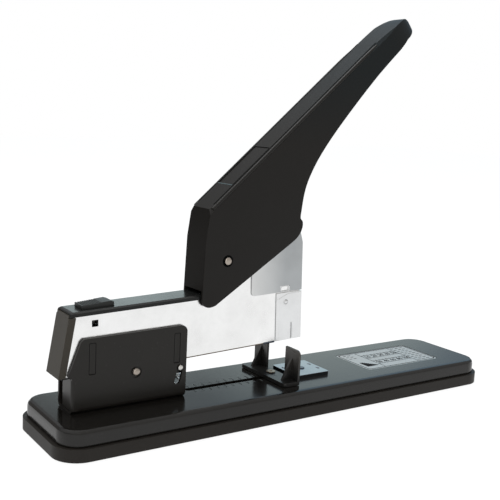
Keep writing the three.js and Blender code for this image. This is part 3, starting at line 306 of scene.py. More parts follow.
REST_TILT = math.radians(2.4)
# Below a height, which only the channel's lower edge at the rear reaches, the head is painted near black:
# painted shade, partly its raw edge.
head_plate = plated(
    "head_plate", (0.965, 0.968, 0.965), 0.20, 0.10, angle=REST_TILT,
    second=(0.02, 0.02, 0.02), where=("Z", 0.0343, 0.0351),
)
nose_steel = plated("nose_steel", (0.81, 0.82, 0.825), 0.18, 0.10, angle=REST_TILT)
# The hood is painted brighter towards its rear and greyer towards the front: a painted reflection.
hood_steel = plated(
    "hood_steel", (0.457, 0.478, 0.490), 0.30, 0.24, smear=0.14, angle=REST_TILT,
    second=(0.73, 0.74, 0.74), where=("X", -0.026, -0.004),
)
inner_steel = plated("inner_steel", (0.55, 0.56, 0.57), 0.34, 0.20)
spring_steel = plated("spring_steel", (0.72, 0.73, 0.74), 0.24, 0.05)
# Below its top face the anvil's flank is painted dark: painted shade.
anvil_steel = plated(
    "anvil_steel", (0.40, 0.44, 0.48), 0.17, 0.10,
    second=(0.06, 0.07, 0.08), where=("Z", 0.0171, 0.0174),
)
pin_steel = plated("pin_steel", (0.44, 0.39, 0.34), 0.30, 0.05)
stud_steel = plated("stud_steel", (0.66, 0.65, 0.62), 0.25, 0.05)
brass_ring = plated("brass_ring", (0.30, 0.24, 0.18), 0.28, 0.05)
staple_steel = plated("staple_steel", (0.78, 0.79, 0.80), 0.25, 0.30)
label_plate_finish = plated("label_plate_finish", (0.62, 0.585, 0.55), 0.42, 0.10)
# A brown edge finish, used as painted shade along the head's lower edge, partly its raw edge.
edge_and_painted_shade = plated("edge_and_painted_shade", (0.20, 0.15, 0.11), 0.40, 0.05)
# Blued steel, also used as painted shade in the anvil's grooves and at the front of the head's edge.
blued_steel_and_shade = plated("blued_steel_and_shade", (0.10, 0.12, 0.15), 0.25, 0.05)
print("metals ready")

# %% [markdown]
# ## Edges that catch the light
# A solid from a model has knife edges, and nothing real does. Each piece that stays in its modelled shape
# is copied, its loose triangles are merged, flat faces are made whole again, and a narrow bevel with
# weighted normals rounds every edge. The width is that of the real process: sheared sheet gets a tenth
# of a millimetre, moulded plastic twice to three times that.


# %% Dress a solid
BODY_OF = {n: b for b, ns in frame["record"]["behaviour"]["bodies"].items() for n in ns}


def dress(node, finish, edge, angle=28):
    """A merged copy of one solid, which stands for that solid: where two faces meet at more than angle
    degrees, the edge is rounded by edge millimetres."""
    work = bmesh.new()
    work.from_mesh(frame["nodes"][node].data)
    bmesh.ops.remove_doubles(work, verts=work.verts, dist=2e-6)
    bmesh.ops.dissolve_limit(work, angle_limit=math.radians(0.8), verts=work.verts, edges=work.edges)
    mesh = bpy.data.meshes.new(node + "_skin")
    work.to_mesh(mesh)
    work.free()
    mesh.shade_smooth()
    mesh.set_sharp_from_angle(angle=math.radians(angle))
    mesh.materials.append(finish)
    piece = bpy.data.objects.new(node + "_skin", mesh)
    bpy.context.scene.collection.objects.link(piece)
    bevel = piece.modifiers.new("edge", "BEVEL")
    bevel.width = edge * MM
    bevel.segments = 2
    bevel.limit_method = "ANGLE"
    bevel.angle_limit = math.radians(angle)
    bevel.miter_outer = "MITER_ARC"
    bevel.harden_normals = False
    weighted = piece.modifiers.new("normals", "WEIGHTED_NORMAL")
    weighted.keep_sharp = False
    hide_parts(node)
    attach(piece, BODY_OF[node])


FINISH = {
    "base_tray": (tray_black, 0.5),
    "base_shell": (shell_enamel, 0.2),
    "bracket": (bracket_enamel, 0.2),
    "top_cover": (cover_enamel, 0.25),
    "rear_cap": (cap_black, 0.25),
    "latch_button": (button_black, 0.3),
    "handle_shell": (handle_black, 0.3),
    "guide_slider": (slider_black, 0.22),
    "head_frame": (head_plate, 0.12),
    "nose_plate": (nose_steel, 0.12),
    "hood_plate": (hood_steel, 0.15),
    "anvil_plate": (anvil_steel, 0.15),
    "label_plate": (label_plate_finish, 0.08),
    "staple_rail": (inner_steel, 0.1),
    "pusher": (button_black, 0.2),
    "ram": (inner_steel, 0.15),
    "driver_blade": (inner_steel, 0.08),
    "drive_lever": (inner_steel, 0.25),
    "latch_keeper": (inner_steel, 0.08),
    "guide_shoe": (inner_steel, 0.1),
}
for node, (finish, edge) in FINISH.items():
    dress(node, finish, edge)
print("dressed", len(FINISH), "pieces")

# %% [markdown]
# ## Fasteners, rod and feet
# These small turned pieces keep their modelled shape. They only need the right metal or rubber, and a
# bevel on their rims, which the same recipe gives them. Three springs and the strip of staples are left
# out here, because finer forms take their place below.

# %% Dress the small pieces
MADE_BELOW = ("lift_spring", "latch_spring", "pusher_spring", "staple_strip")
OWN_METAL = {"guide_rivet": brass_ring, "anvil_rivet": blued_steel_and_shade}
small = [node for node in frame["nodes"] if node not in FINISH and node not in MADE_BELOW]
for node in small:
    if node.startswith("foot_"):
        dress(node, rubber_black, 0.4)
    elif node == "return_spring":
        dress(node, spring_steel, 0.02, angle=80)
    else:
        dress(node, OWN_METAL.get(node, pin_steel), 0.15)
print("dressed", len(small), "small pieces")

# %% [markdown]
# ## Surfaces worked out on a grid
# The finer pieces have no solid of their own, or their solid is plainer than they are. Each is a surface
# with two parameters, worked out as one array of points: the rows follow a path, the columns go round a
# section. One helper turns such an array into a mesh, one carries an oval section along a path, and one
# spins a profile round an axis. Between them they make wires, printed lines, beads and domed pin heads.


# %% Surface helpers
def skin(name, grid, finish, body, wrap=(False, True)):
    """A mesh from points (copies, rows, columns, 3) in millimetres. Neighbours on the grid make four-sided
    faces, and a wrapped direction joins its last line to its first. Points that fall together at a pole
    become one point, and all faces are turned outwards."""
    copies, rows, columns = grid.shape[:3]
    index = np.arange(rows * columns).reshape(rows, columns)
    if wrap[0]:
        index = np.vstack([index, index[:1]])
    if wrap[1]:
        index = np.hstack([index, index[:, :1]])
    quads = np.stack([index[:-1, :-1], index[1:, :-1], index[1:, 1:], index[:-1, 1:]], -1).reshape(-1, 4)
    quads = (quads[None] + rows * columns * np.arange(copies)[:, None, None]).reshape(-1, 4)
    mesh = bpy.data.meshes.new(name)
    mesh.from_pydata((grid.reshape(-1, 3) * MM).tolist(), [], quads.tolist())
    work = bmesh.new()
    work.from_mesh(mesh)
    bmesh.ops.remove_doubles(work, verts=work.verts, dist=1e-8)
    bmesh.ops.recalc_face_normals(work, faces=work.faces)
    work.to_mesh(mesh)
    work.free()
    mesh.shade_smooth()
    mesh.set_sharp_from_angle(angle=math.radians(50))
    mesh.materials.append(finish)
    piece = bpy.data.objects.new(name, mesh)
    bpy.context.scene.collection.objects.link(piece)
    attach(piece, body)
    return piece


def swept(path, side, half_width, half_height, around=8, blunt=(0.0, 1.0)):
    """Points round each path (copies, steps, 3): an oval, half_width along the direction side and
    half_height across it, is carried along the path. blunt gives the size of the oval at the ends, as
    shares that are mirrored at the far end, and it starts with 0, so the ends are closed."""
    path = np.asarray(path, float)
    ahead = np.gradient(path, axis=1)
    ahead /= np.linalg.norm(ahead, axis=-1, keepdims=True)
    side = np.broadcast_to(np.asarray(side, float), path.shape)
    side = side - (side * ahead).sum(-1, keepdims=True) * ahead
    side = side / np.linalg.norm(side, axis=-1, keepdims=True)
    up = np.cross(ahead, side)
    ends = len(blunt) - 1
    pad = ((0, 0), (ends, ends), (0, 0))
    path, side, up = (np.pad(a, pad, mode="edge") for a in (path, side, up))
    size = np.ones(path.shape[1])
    size[: ends + 1] = blunt
    size[-ends - 1 :] = blunt[::-1]
    turn = (2 * np.pi * np.arange(around) / around)[:, None]
    ring = half_width * np.cos(turn) * side[:, :, None] + half_height * np.sin(turn) * up[:, :, None]
    return path[:, :, None] + ring * size[None, :, None, None]


def spun(profile, centre, axis, around=32):
    """A profile of (radius, height) pairs turned about a level axis through centre. It starts and ends at
    radius zero, so the form is closed."""
    profile = np.asarray(profile, float)
    axis = np.asarray(axis, float)
    first = np.cross(axis, (0.0, 0.0, 1.0))
    second = np.cross(axis, first)
    turn = 2 * np.pi * np.arange(around)[None, :, None] / around
    ring = profile[:, 0][:, None, None] * (np.cos(turn) * first + np.sin(turn) * second)
    return (np.asarray(centre, float) + profile[:, 1][:, None, None] * axis + ring)[None]


def rounded_square(half_u, half_w, corner, steps=6):
    """Points round a square with rounded corners, counted once."""
    arc = np.linspace(0, np.pi / 2, steps)
    turns = np.array([[1, 1], [-1, 1], [-1, -1], [1, -1]])
    parts = []
    for k, (a, b) in enumerate(turns):
        angle = arc + k * np.pi / 2
        u = a * (half_u - corner) + corner * np.cos(angle)
        w = b * (half_w - corner) + corner * np.sin(angle)
        parts.append(np.stack([u, w], -1))
    return np.concatenate(parts)


def box_of(node):
    """The lowest and the highest corner of a solid's box at rest, in millimetres."""
    return [np.array(corner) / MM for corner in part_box(node)]


OVAL = 2 * np.pi * np.arange(8)[None, :] / 8  # the places round a small oval section, as one row
PIVOT = np.array((-96.5, 0.0, 33.0))


def on_head(u, y, w):
    """The world place of a point of the head: u forward from the pivot, w up from it, tilted at rest."""
    u, y, w = np.broadcast_arrays(np.asarray(u, float), y, w)
    c, s = math.cos(REST_TILT), math.sin(REST_TILT)
    return np.stack([u * c - w * s, y, u * s + w * c], -1) + PIVOT


print("surface helpers ready")

# %% [markdown]
# ## Springs
# A compression spring is a wire carried round a helix. Its first and last turns lie flat, so that it
# stands square on its seat. The height is held flat for 0.7 of a turn at each end and rises evenly
# between. The lift spring hangs on the base, the latch spring on the loader, and the long pusher spring
# lies along the head.


# %% Springs
def coil(radius, wire, length, curls, per_turn=40):
    """A wire on a helix about +Z from height 0 to length: the angle grows evenly, the height waits at
    both ends for 0.7 of a turn and grows evenly between."""
    share = np.linspace(0, 1, int(curls * per_turn) + 1)
    angle = 2 * np.pi * curls * share
    rise = np.clip((share * curls - 0.7) / (curls - 1.4), 0, 1)
    height = wire / 2 + (length - wire) * rise
    path = np.stack([radius * np.cos(angle), radius * np.sin(angle), height], -1)[None]
    outward = np.stack([np.cos(angle), np.sin(angle), 0 * angle], -1)[None]
    return swept(path, outward, wire / 2, wire / 2, 10, (0.0, 0.75, 1.0))


LIFT_WIRE, LATCH_WIRE = 1.1, 0.4
low, high = box_of("lift_spring")
seat = [(low[0] + high[0]) / 2, 0, low[2]]
lift = coil((high[0] - low[0]) / 2 - LIFT_WIRE / 2, LIFT_WIRE, high[2] - low[2], 6)
lift = skin("lift_coil", lift + seat, spring_steel, "base")
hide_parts("lift_spring")
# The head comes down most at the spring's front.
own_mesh(lift)

low, high = box_of("latch_spring")
seat = [(low[0] + high[0]) / 2, 0, low[2]]
latch = coil((high[1] - low[1]) / 2 - LATCH_WIRE / 2, LATCH_WIRE, high[2] - low[2] - 0.1, 4)
latch = skin("latch_coil", latch + seat, spring_steel, "loader")
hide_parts("latch_spring")
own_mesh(latch)

ROD_HEIGHT, PUSH_WIDTH = 27.6, 4.4
low, high = box_of("pusher_spring")
centre = (low + high) / 2 - PIVOT
along = centre[0] * math.cos(REST_TILT) + centre[2] * math.sin(REST_TILT)
span = (high[0] - low[0] - PUSH_WIDTH * math.sin(REST_TILT)) / math.cos(REST_TILT)
push = coil(radius=1.95, wire=0.45, length=span, curls=30, per_turn=24)
push = on_head(push[..., 2] + along - span / 2, push[..., 1], push[..., 0] + ROD_HEIGHT)
push = skin("pusher_coil", push, spring_steel, "loader")
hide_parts("pusher_spring")
for made in (lift, latch, push):
    print(made.name, "has", len(made.data.vertices), "points")

# %% [markdown]
# ## The strip of staples
# A strip is a row of bent wires held together with glue. Each wire goes up one leg, round a corner of
# half a millimetre, across the crown and down the other leg. The same path is copied along the head, one
# wire's thickness apart. The sizes are the wire, the round of its corner, the rear and the front end of
# the strip, half its width and the height of the legs' feet above the pivot.

# %% Staples
WIRE, BEND, REAR, FRONT, HALF, FOOT = 0.6, 0.5, 60.0, 103.8, 6.3, 8.6
low, high = box_of("staple_strip")
crown = ((high - PIVOT)[2] - FRONT * math.sin(REST_TILT)) / math.cos(REST_TILT) - WIRE / 2
quarter = np.linspace(0, np.pi / 2, 6)
corner_y = HALF - WIRE / 2 - BEND + BEND * np.cos(quarter)
corner_w = crown - BEND + BEND * np.sin(quarter)
half_y = np.concatenate([[HALF - WIRE / 2] * 2, corner_y[1:]])
half_w = np.concatenate([[FOOT, (FOOT + crown) / 2], corner_w[1:]])
one_y = np.concatenate([half_y, -half_y[::-1]])
one_w = np.concatenate([half_w, half_w[::-1]])
count = int((FRONT - REAR) / WIRE)
places = REAR + WIRE / 2 + WIRE * np.arange(count)
wires = on_head(places[:, None], one_y[None], one_w[None])
strip = swept(wires, (math.cos(REST_TILT), 0, math.sin(REST_TILT)), WIRE / 2, WIRE / 2, 8)
strip = skin("staple_wires", strip, staple_steel, "head")
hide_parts("staple_strip")
print("staples:", count, "crown at", round(float(crown), 2))

# %% [markdown]
# ## Domed heads on the pins
# The pins are peened: their ends are struck into shallow domes that catch the light on one side. A dome
# is a quarter ellipse, spun about the pin, standing on a short straight collar. The dome is a little
# wider than the pin, so it closes over the pin's flat end.


# %% Pin heads
def dome(radius, collar, crown):
    """The profile of a peened head: in at the foot, up the collar, and over a quarter ellipse."""
    arc = np.linspace(0, np.pi / 2, 9)
    over = np.stack([radius * np.cos(arc), collar + crown * np.sin(arc)], -1)
    over[-1, 0] = 0
    return np.concatenate([[(0, -0.15), (radius, -0.15)], over])


def pin_head(name, shape, centre, side, finish, body):
    """A peened head at centre that faces the near side for -1 and the far side for 1."""
    skin(name, spun(dome(*shape), centre, (0, side, 0)), finish, body)


STUD_AT, NOSE_RIVET_AT, NOSE_SIDE = (25.6, -2.1), (95.0, 24.4), 8.1
low, high = box_of("pivot_pin")
pin_head("pivot_head_near", (2.0, 0.55, 0.75), (PIVOT[0], low[1], PIVOT[2]), -1, pin_steel, "base")
pin_head("pivot_head_far", (2.0, 0.15, 0.5), (PIVOT[0], high[1], PIVOT[2]), 1, pin_steel, "base")
low, high = box_of("handle_pin")
hub = (low + high) / 2
pin_head("handle_pin_head_near", (2.1, 0.3, 0.7), (hub[0], low[1], hub[2]), -1, pin_steel, "head")
pin_head("handle_pin_head_far", (2.1, 0.3, 0.7), (hub[0], high[1], hub[2]), 1, pin_steel, "head")
for side, name in ((-1, "near"), (1, "far")):
    low, high = box_of("stop_stud_" + name)
    at = on_head(STUD_AT[0], low[1] if side < 0 else high[1], STUD_AT[1])
    pin_head("stop_stud_" + name + "_head", (1.45, 0.1, 0.35), at, side, stud_steel, "head")
    at = on_head(NOSE_RIVET_AT[0], side * NOSE_SIDE, NOSE_RIVET_AT[1])
    pin_head("nose_rivet_head_" + name, (1.25, 0.0, 0.4), at, side, nose_steel, "head")
print("pin heads done")

# %% [markdown]
# ## Rings round the handle's pin
# Where the handle's pin comes through the moulding, a fine dark ring of painted shade stands for the
# groove round it. It is an oval section carried round a closed circle, so both of its directions wrap.


# %% Rings
def ring(radius, half_width, half_height, centre, around=48):
    """A closed ring about the Y axis: an oval on a circle of the given radius."""
    turn = 2 * np.pi * np.arange(around)[:, None, None] / around
    oval = 2 * np.pi * np.arange(10)[None, :, None] / 10
    out = np.concatenate([np.cos(turn), 0 * turn, np.sin(turn)], -1)
    reach = radius + half_width * np.cos(oval)
    raised = half_height * np.sin(oval) * np.array((0.0, 1.0, 0.0))
    return (np.asarray(centre, float) + reach * out + raised)[None]


low, high = box_of("handle_shell")
for name, y in (("near", low[1]), ("far", high[1])):
    # Each ring is a dark bar of painted shade.
    line = ring(2.85, 0.40, 0.10, (hub[0], y, hub[2]))
    skin("pin_ring_" + name, line, painted_groove_shade, "handle", (True, True))
print("rings done")

# %% [markdown]
# ## The handle's edges and its panel
# Along the top of the handle the moulding turns the corner in a polished round, with a fine groove beside
# it, drawn as a dark bar of painted shade, and the panel between the two rounds has an outline of its
# own. The rounds are long bars that nestle in the handle's bevels. They are rounded off at the rear and
# sink into the moulding towards the grip, where they run out. Places on the head are measured from the
# pivot, and places on the handle's top along it from below the handle's pin.

# %% Handle edges
PIN_U, PIN_W = 54.4, 52.3
HEEL, GRIP = (-10.7, 28.4), (91.5, 110.4)
TOP_ANGLE = math.atan2(GRIP[1] - HEEL[1], GRIP[0] - HEEL[0])
TOP = GRIP[1] * math.cos(TOP_ANGLE) - GRIP[0] * math.sin(TOP_ANGLE)


def on_top(along, y, above=0.0):
    """The world place of a point on the handle's flat top: along it from below the pin, across, above."""
    along, y, above = np.broadcast_arrays(np.asarray(along, float), y, above)
    c, s = math.cos(TOP_ANGLE), math.sin(TOP_ANGLE)
    n = TOP + above
    return on_head(PIN_U + along * c - n * s, y, PIN_W + along * s + n * c)


edge_gloss = moulded("edge_gloss", (0.0085, 0.0076, 0.0066), 0.30, 0.10, 0.26)
across = on_head(0, 1, 0) - on_head(0, 0, 0)
ROUND, BAR_Y, BAR_DEPTH, GROOVE_Y = 1.1, 8.88, 1.12, 7.75
BAR_START, SINK_START, BAR_END = 10.6, 134, 158
line = np.linspace(BAR_START, BAR_END, 60)
sunk = ROUND * np.clip((line - SINK_START) / (BAR_END - SINK_START), 0, 1) ** 2
bars = np.stack([on_top(line, side * (BAR_Y - sunk), -BAR_DEPTH - sunk) for side in (-1, 1)])
fade = tuple(np.sin(np.linspace(0, np.pi / 2, 7)))
skin("handle_rounds", swept(bars, across, ROUND, ROUND, 20, fade), edge_gloss, "handle")
# The fine grooves beside the rounds are dark bars of painted shade.
grooves = np.stack([on_top(line[1:-2], y, 0.01 - 0.12 * sunk[1:-2]) for y in (-GROOVE_Y, GROOVE_Y)])
skin("handle_grooves", swept(grooves, across, 0.40, 0.06, 6), painted_groove_shade, "handle")
print("handle top at", round(float(TOP), 2), "mm, angle", round(math.degrees(TOP_ANGLE), 2))

# %% [markdown]
# ## The panel on the handle
# The panel lies level with the rest of the top and shows by its outline alone: two fine dark rails of
# painted shade along the handle, a dark line of painted shade at the grip's end, and a wider bluish-grey
# sill at the rear, a painted highlight of the step.

# %% Panel outline
START, END, HALF_PANEL = 28.4, 59.0, 6.9
# The sill is a painted highlight: a lighter bluish grey on the step.
painted_sill_highlight = moulded("painted_sill_highlight", (0.050, 0.075, 0.082), 0.30, 0.05, 0.5)
forward_top = on_top(1, 0) - on_top(0, 0)
panel_x = np.linspace(START + 0.25, END - 0.25, 12)
panel_y = np.linspace(-HALF_PANEL, HALF_PANEL, 12)
rails = np.stack([on_top(panel_x, y, 0.0) for y in (-HALF_PANEL, HALF_PANEL)])
# The rails and the line at the grip's end are painted shade.
skin("panel_rails", swept(rails, across, 0.16, 0.07, 6), painted_groove_shade, "handle")
sill = on_top(np.full(12, START), panel_y, 0.02)[None]
skin("panel_sill", swept(sill, forward_top, 0.30, 0.10, 8), painted_sill_highlight, "handle")
head_sill = on_top(np.full(12, END), panel_y, 0.0)[None]
skin("panel_head", swept(head_sill, forward_top, 0.16, 0.07, 6), painted_groove_shade, "handle")
print("panel from", START, "to", END, "mm")

# %% [markdown]
# ## The scale beside the slot
# The depth of the guide is read on two rows of short marks pressed into the deck, about five millimetres
# apart, one row on each side of the slot. A mark is a low oval bead of lighter grey, and a dark bar beside
# each one is painted shadow on the deck.

# %% Scale marks
DECK, SPACING, POINTS = 15.5, 4.95, 6


def mark_row(y0, y1):
    """The points of one row of marks on the deck, each mark running across from y0 to y1."""
    y, z = np.linspace(y0, y1, POINTS), np.full(POINTS, DECK)
    return np.stack([np.stack([np.full(POINTS, x), y, z], -1) for x in np.arange(-58.5, -13, SPACING)])


marks = np.concatenate([mark_row(2.7, 6.4), mark_row(-5.6, -2.7)])
mark_grey = enamel("mark_grey", (0.030, 0.033, 0.033), 0.30, 0.05, 0.5)
skin("scale_beads", swept(marks, (1, 0, 0), 0.34, 0.10, 8), mark_grey, "base")
# A dark bar just in front of each mark: painted shadow.
shades = marks + np.array((0.55, 0, -0.01))
skin("scale_shades", swept(shades, (1, 0, 0), 0.26, 0.05, 6), painted_groove_shade, "base")
print("marks:", len(marks))

# %% [markdown]
# ## The label's print
# The plate carries a plain table: a border, ruled lines, two rows of ticks, dashes where text would be
# and a wedge. All of it is printed, so it stands only a few hundredths of a millimetre high.

# %% Label print
ink = moulded("ink", (0.012, 0.012, 0.013), 0.60, 0.10, 0.05)
low, high = box_of("label_plate")
MARGIN, FACE = 2.0, high[2]
x0, x1 = low[0] + MARGIN, high[0] - MARGIN
y0, y1 = low[1] + MARGIN, high[1] - MARGIN


def rule(ax, ay, bx, by):
    """Ten points on the straight line from a to b, just above the plate."""
    return np.stack([np.linspace(ax, bx, 10), np.linspace(ay, by, 10), np.full(10, FACE + 0.02)], -1)


TICK, DASH, SHORT_DASH = 0.8, 2.6, 2.2
left, right_side = x0 + 13, x1 - 14
rows = np.linspace(y0, y1, 6)
stops = np.linspace(left + 3, right_side - 2.5, 9)
lengthwise = [rule(left, y, right_side, y) for y in rows[1:-1]]
crosswise = [rule(x, y0, x, y1) for x in (left, right_side)]
ticks = [rule(x, y - TICK, x, y + TICK) for y in (rows[2], rows[4]) for x in stops]
heights = np.linspace(y0 + 1.6, y1 - 1.6, 9)
dashes = [rule(x, y, x + DASH, y) for y in heights for x in (x1 - 12.5, x1 - 8.6, x1 - 4.7)]
dashes += [rule(x, y, x + SHORT_DASH, y) for y in heights[6:] for x in (x0 + 1.6, x0 + 5.2)]
wedge = [rule(x0 + 2, y0 + 4 + k, x0 + 11 - 0.9 * k, y0 + 4 + k) for k in np.arange(0, 8, 0.9)]
PRINT = (
    ("label_lines", lengthwise, (0, 1, 0), 0.24, 0.04),
    ("label_bars", crosswise, (1, 0, 0), 0.24, 0.04),
    ("label_ticks", ticks, (1, 0, 0), 0.30, 0.04),
    ("label_dashes", dashes, (0, 1, 0), 0.34, 0.04),
    ("label_wedge", wedge, (0, 1, 0), 0.42, 0.03),
)
for name, strokes, side, half_width, half_height in PRINT:
    skin(name, swept(np.stack(strokes), side, half_width, half_height, 6), ink, "base")
frame_line = rounded_square((x1 - x0) / 2 + 0.9, (y1 - y0) / 2 + 0.9, 2.2, 10)
grow_x = 1 + 0.30 * np.cos(OVAL) / (x1 - x0) * 2
grow_y = 1 + 0.30 * np.cos(OVAL) / (y1 - y0) * 2
border_x = (x0 + x1) / 2 + frame_line[:, :1] * grow_x
border_y = (y0 + y1) / 2 + frame_line[:, 1:] * grow_y
border_z = FACE + 0.02 + 0.04 * np.sin(OVAL) + 0 * border_x
border = np.stack([border_x, border_y, border_z], -1)
skin("label_border", border[None], ink, "base", (True, True))
print("label face at", round(float(FACE), 3))

# %% [markdown]
# ## The label's numbers
# Two rows of plain numbers stand in line with every second tick, one counting by tens and one by
# twenties. They are set as flat type, turned into meshes and joined into one piece.


# %% Label numbers
def numeral(text, x, y, size):
    """A plain printed number centred on x, with its foot at y."""
    curve = bpy.data.curves.new("number_" + text, "FONT")
    curve.body = text
    curve.size = size * MM
    curve.align_x = "CENTER"
    curve.extrude = 0.02 * MM
    curve.offset = 0.04 * MM
    made = bpy.data.objects.new("numbers_maker", curve)
    bpy.context.scene.collection.objects.link(made)
    bpy.context.view_layer.update()
    mesh = bpy.data.meshes.new_from_object(made)
    bpy.data.objects.remove(made)
    mesh.transform(Matrix.Translation((x * MM, y * MM, (FACE + 0.03) * MM)))
    return mesh


digits = bmesh.new()
for k, x in enumerate(stops[::2]):
    for y, step in ((rows[1] + 1.2, 20), (rows[3] + 1.2, 10)):
        digits.from_mesh(numeral(str(step * (k + 1)), x, y, 4.2))
mesh = bpy.data.meshes.new("label_numbers")
digits.to_mesh(mesh)
digits.free()
mesh.materials.clear()
mesh.materials.append(ink)
numbers = bpy.data.objects.new("label_numbers", mesh)
bpy.context.scene.collection.objects.link(numbers)
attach(numbers, "base")
print("numbers:", len(mesh.polygons), "faces")

# %% [markdown]
# ## Small things on the head
# Along the lower edge of the head's channel a thin brown bar paints the shade under the edge, partly the
# sheet's raw edge, and at the front it turns blue and thicker. The hood is held by a pressed tab in its
# notch. The edge is a fine bar, and the tab an oval carried round a rounded square.

# %% Raw edge with painted shade, and tabs
EDGE_W, EDGE_SIDE, CURL_SIDE = 1.95, 7.2, 7.3
TAB_U, TAB_W, HOOD_SIDE = 94.4, 32.2, 7.75
# A brown bar along the lower edge: painted shade, partly the sheet's raw edge.
low_edge = on_head(np.linspace(-26, 88, 40), 0, EDGE_W)
low_edges = np.stack([low_edge + (0, y, 0) for y in (-EDGE_SIDE, EDGE_SIDE)])
skin("head_edge_and_shade", swept(low_edges, across, 0.22, 0.34, 8), edge_and_painted_shade, "head")
outline = rounded_square(2.9, 1.55, 0.9)
for name, side in (("near", -1), ("far", 1)):
    tab_u = TAB_U + outline[:, :1] * (1 + 0.14 * np.cos(OVAL))
    tab_w = TAB_W + outline[:, 1:] * (1 + 0.24 * np.cos(OVAL))
    tab = on_head(tab_u, side * HOOD_SIDE + 0.42 * np.sin(OVAL), tab_w)[None]
    skin("hood_tab_" + name, tab, nose_steel, "head", (True, True))
# The thicker blue-dark bar at the front is painted shade as well, on the sheet's curled end.
thick = on_head(np.linspace(80.5, 88, 12), 0, EDGE_W)
thick = np.stack([thick + (0, y, 0) for y in (-CURL_SIDE, CURL_SIDE)])
curl = swept(thick, across, 0.30, 0.55, 8, (0.0, 0.6, 0.9, 1.0))
skin("head_edge_curl", curl, blued_steel_and_shade, "head")
print("raw edges and tabs done")

# %% [markdown]
# ## Pressed lines
# The nose plate has a slanting crease at its top, an upright line at its rear edge and a lip on each side
# of its slit: low oval beads, the crease led through four corner points. The two upright ribs in each
# cheek of the bracket show by a dark rim of painted shade, an oval carried round a tall rounded square.

# %% Pressed lines of the nose and of the bracket
crease = on_head([88.9, 96.2, 101.6, 105.6], 0, [26.2, 29.0, 29.3, 29.3])
between = np.linspace(0, 3, 30)
crease = np.stack([np.interp(between, range(4), crease[:, k]) for k in range(3)], -1)
upright = on_head(90.4, 0, np.linspace(3.0, 26.5, 30))
lips = [on_head(u, 0, np.linspace(2.9, 12.2, 30)) for u in (98.35, 100.05)]
beads = [line + (0, y, 0) for line in (crease, upright, *lips) for y in (-NOSE_SIDE, NOSE_SIDE)]
beads = swept(np.stack(beads), across, 0.10, 0.20, 8, (0.0, 0.7, 1.0))
skin("nose_beads", beads, nose_steel, "head")

RIB_U, RIB_W, RIB_HEIGHT, RIB_PLACES = 1.7, 8.0, 42.8, (-24, 23.6)
low, high = box_of("bracket")
outline = rounded_square(RIB_U, RIB_W, 0.6)
swell = 0.13 * np.cos(OVAL)
rims = []
for x in (PIVOT[0] + place for place in RIB_PLACES):
    for y in (low[1], high[1]):
        rim_x = x + outline[:, :1] * (1 + swell / RIB_U)
        rim_z = RIB_HEIGHT + outline[:, 1:] * (1 + swell / RIB_W)
        rims.append(np.stack([rim_x, y + 0.05 * np.sin(OVAL) + 0 * rim_x, rim_z], -1))
# The dark rims round the ribs are painted shade.
skin("bracket_rib_rims", np.stack(rims), painted_groove_shade, "base", (True, True))
print("pressed lines:", len(lips) + 2, "on each side of the nose,", len(rims), "rib rims")

# %% [markdown]
# ## Clinch grooves
# The anvil's four grooves are painted dark as shade. Each gets a shallow dish of dark steel: a bowl that
# rises with the square of the distance from its middle, closed by a nearly flat underside.

# %% Clinch grooves
GROOVE_X, GROOVE_SIDE = 9.6, 4.2
low, high = box_of("anvil_plate")
radius = np.linspace(0, 1, 7)[:, None]
turn = 2 * np.pi * np.arange(24)[None, :] / 24
dishes = []
for x in (-GROOVE_X, GROOVE_X):
    for y in (-GROOVE_SIDE, GROOVE_SIDE):
        flat_x = (low[0] + high[0]) / 2 + x + 1.1 * radius * np.cos(turn)
        flat_y = y + 2.1 * radius * np.sin(turn)
        bowl = high[2] - 0.12 - 0.5 * (1 - radius**2) + 0 * turn
        under = high[2] - 0.66 + 0.02 * (1 - radius**2) + 0 * turn
        top_side = np.stack([flat_x, flat_y, bowl], -1)
        low_side = np.stack([flat_x, flat_y, under], -1)[::-1]
        dishes.append(np.concatenate([top_side, low_side]))
# The dark dishes are painted shade in the grooves.
skin("groove_dishes", np.stack(dishes), blued_steel_and_shade, "base")
print("dishes:", len(dishes))

# %% [markdown]
# ## Floor
# The stapler stands on a plain white floor. For the camera most of its light is its own glow, so that it
# melts into the white behind it and keeps only a trace of shadow, and mirrors see it as an even white.


# %% Floor
def floor_mesh(half):
    """A flat square with corners at plus and minus half in x and y, at height zero."""
    x = np.array([-half, half, half, -half])
    y = np.array([-half, -half, half, half])
    mesh = bpy.data.meshes.new("floor")
    mesh.from_pydata(np.stack([x, y, np.zeros(4)], 1).tolist(), [], [(0, 1, 2, 3)])
    return mesh


floor = bpy.data.objects.new("floor", floor_mesh(4.0))
bpy.context.scene.collection.objects.link(floor)
paper = bpy.data.materials.new("paper")
paper.use_nodes = True
tree = paper.node_tree
matt = tree.nodes["Principled BSDF"]
matt.inputs["Base Color"].default_value = (0.93, 0.93, 0.93, 1)
matt.inputs["Roughness"].default_value = 1.0
matt.inputs["Specular IOR Level"].default_value = 0.0


def glow(level, strength):
    """An even grey light of the given level."""
    node = tree.nodes.new("ShaderNodeEmission")
    node.inputs["Color"].default_value = (level, level, level, 1)
    node.inputs["Strength"].default_value = strength
    return node.outputs[0]


def mixed(share, first, second):
    """The first shader where share is 0 and the second where it is 1."""
    node = tree.nodes.new("ShaderNodeMixShader")
    for place, socket in enumerate((share, first, second)):
        tree.links.new(socket, node.inputs[place])
    return node.outputs[0]


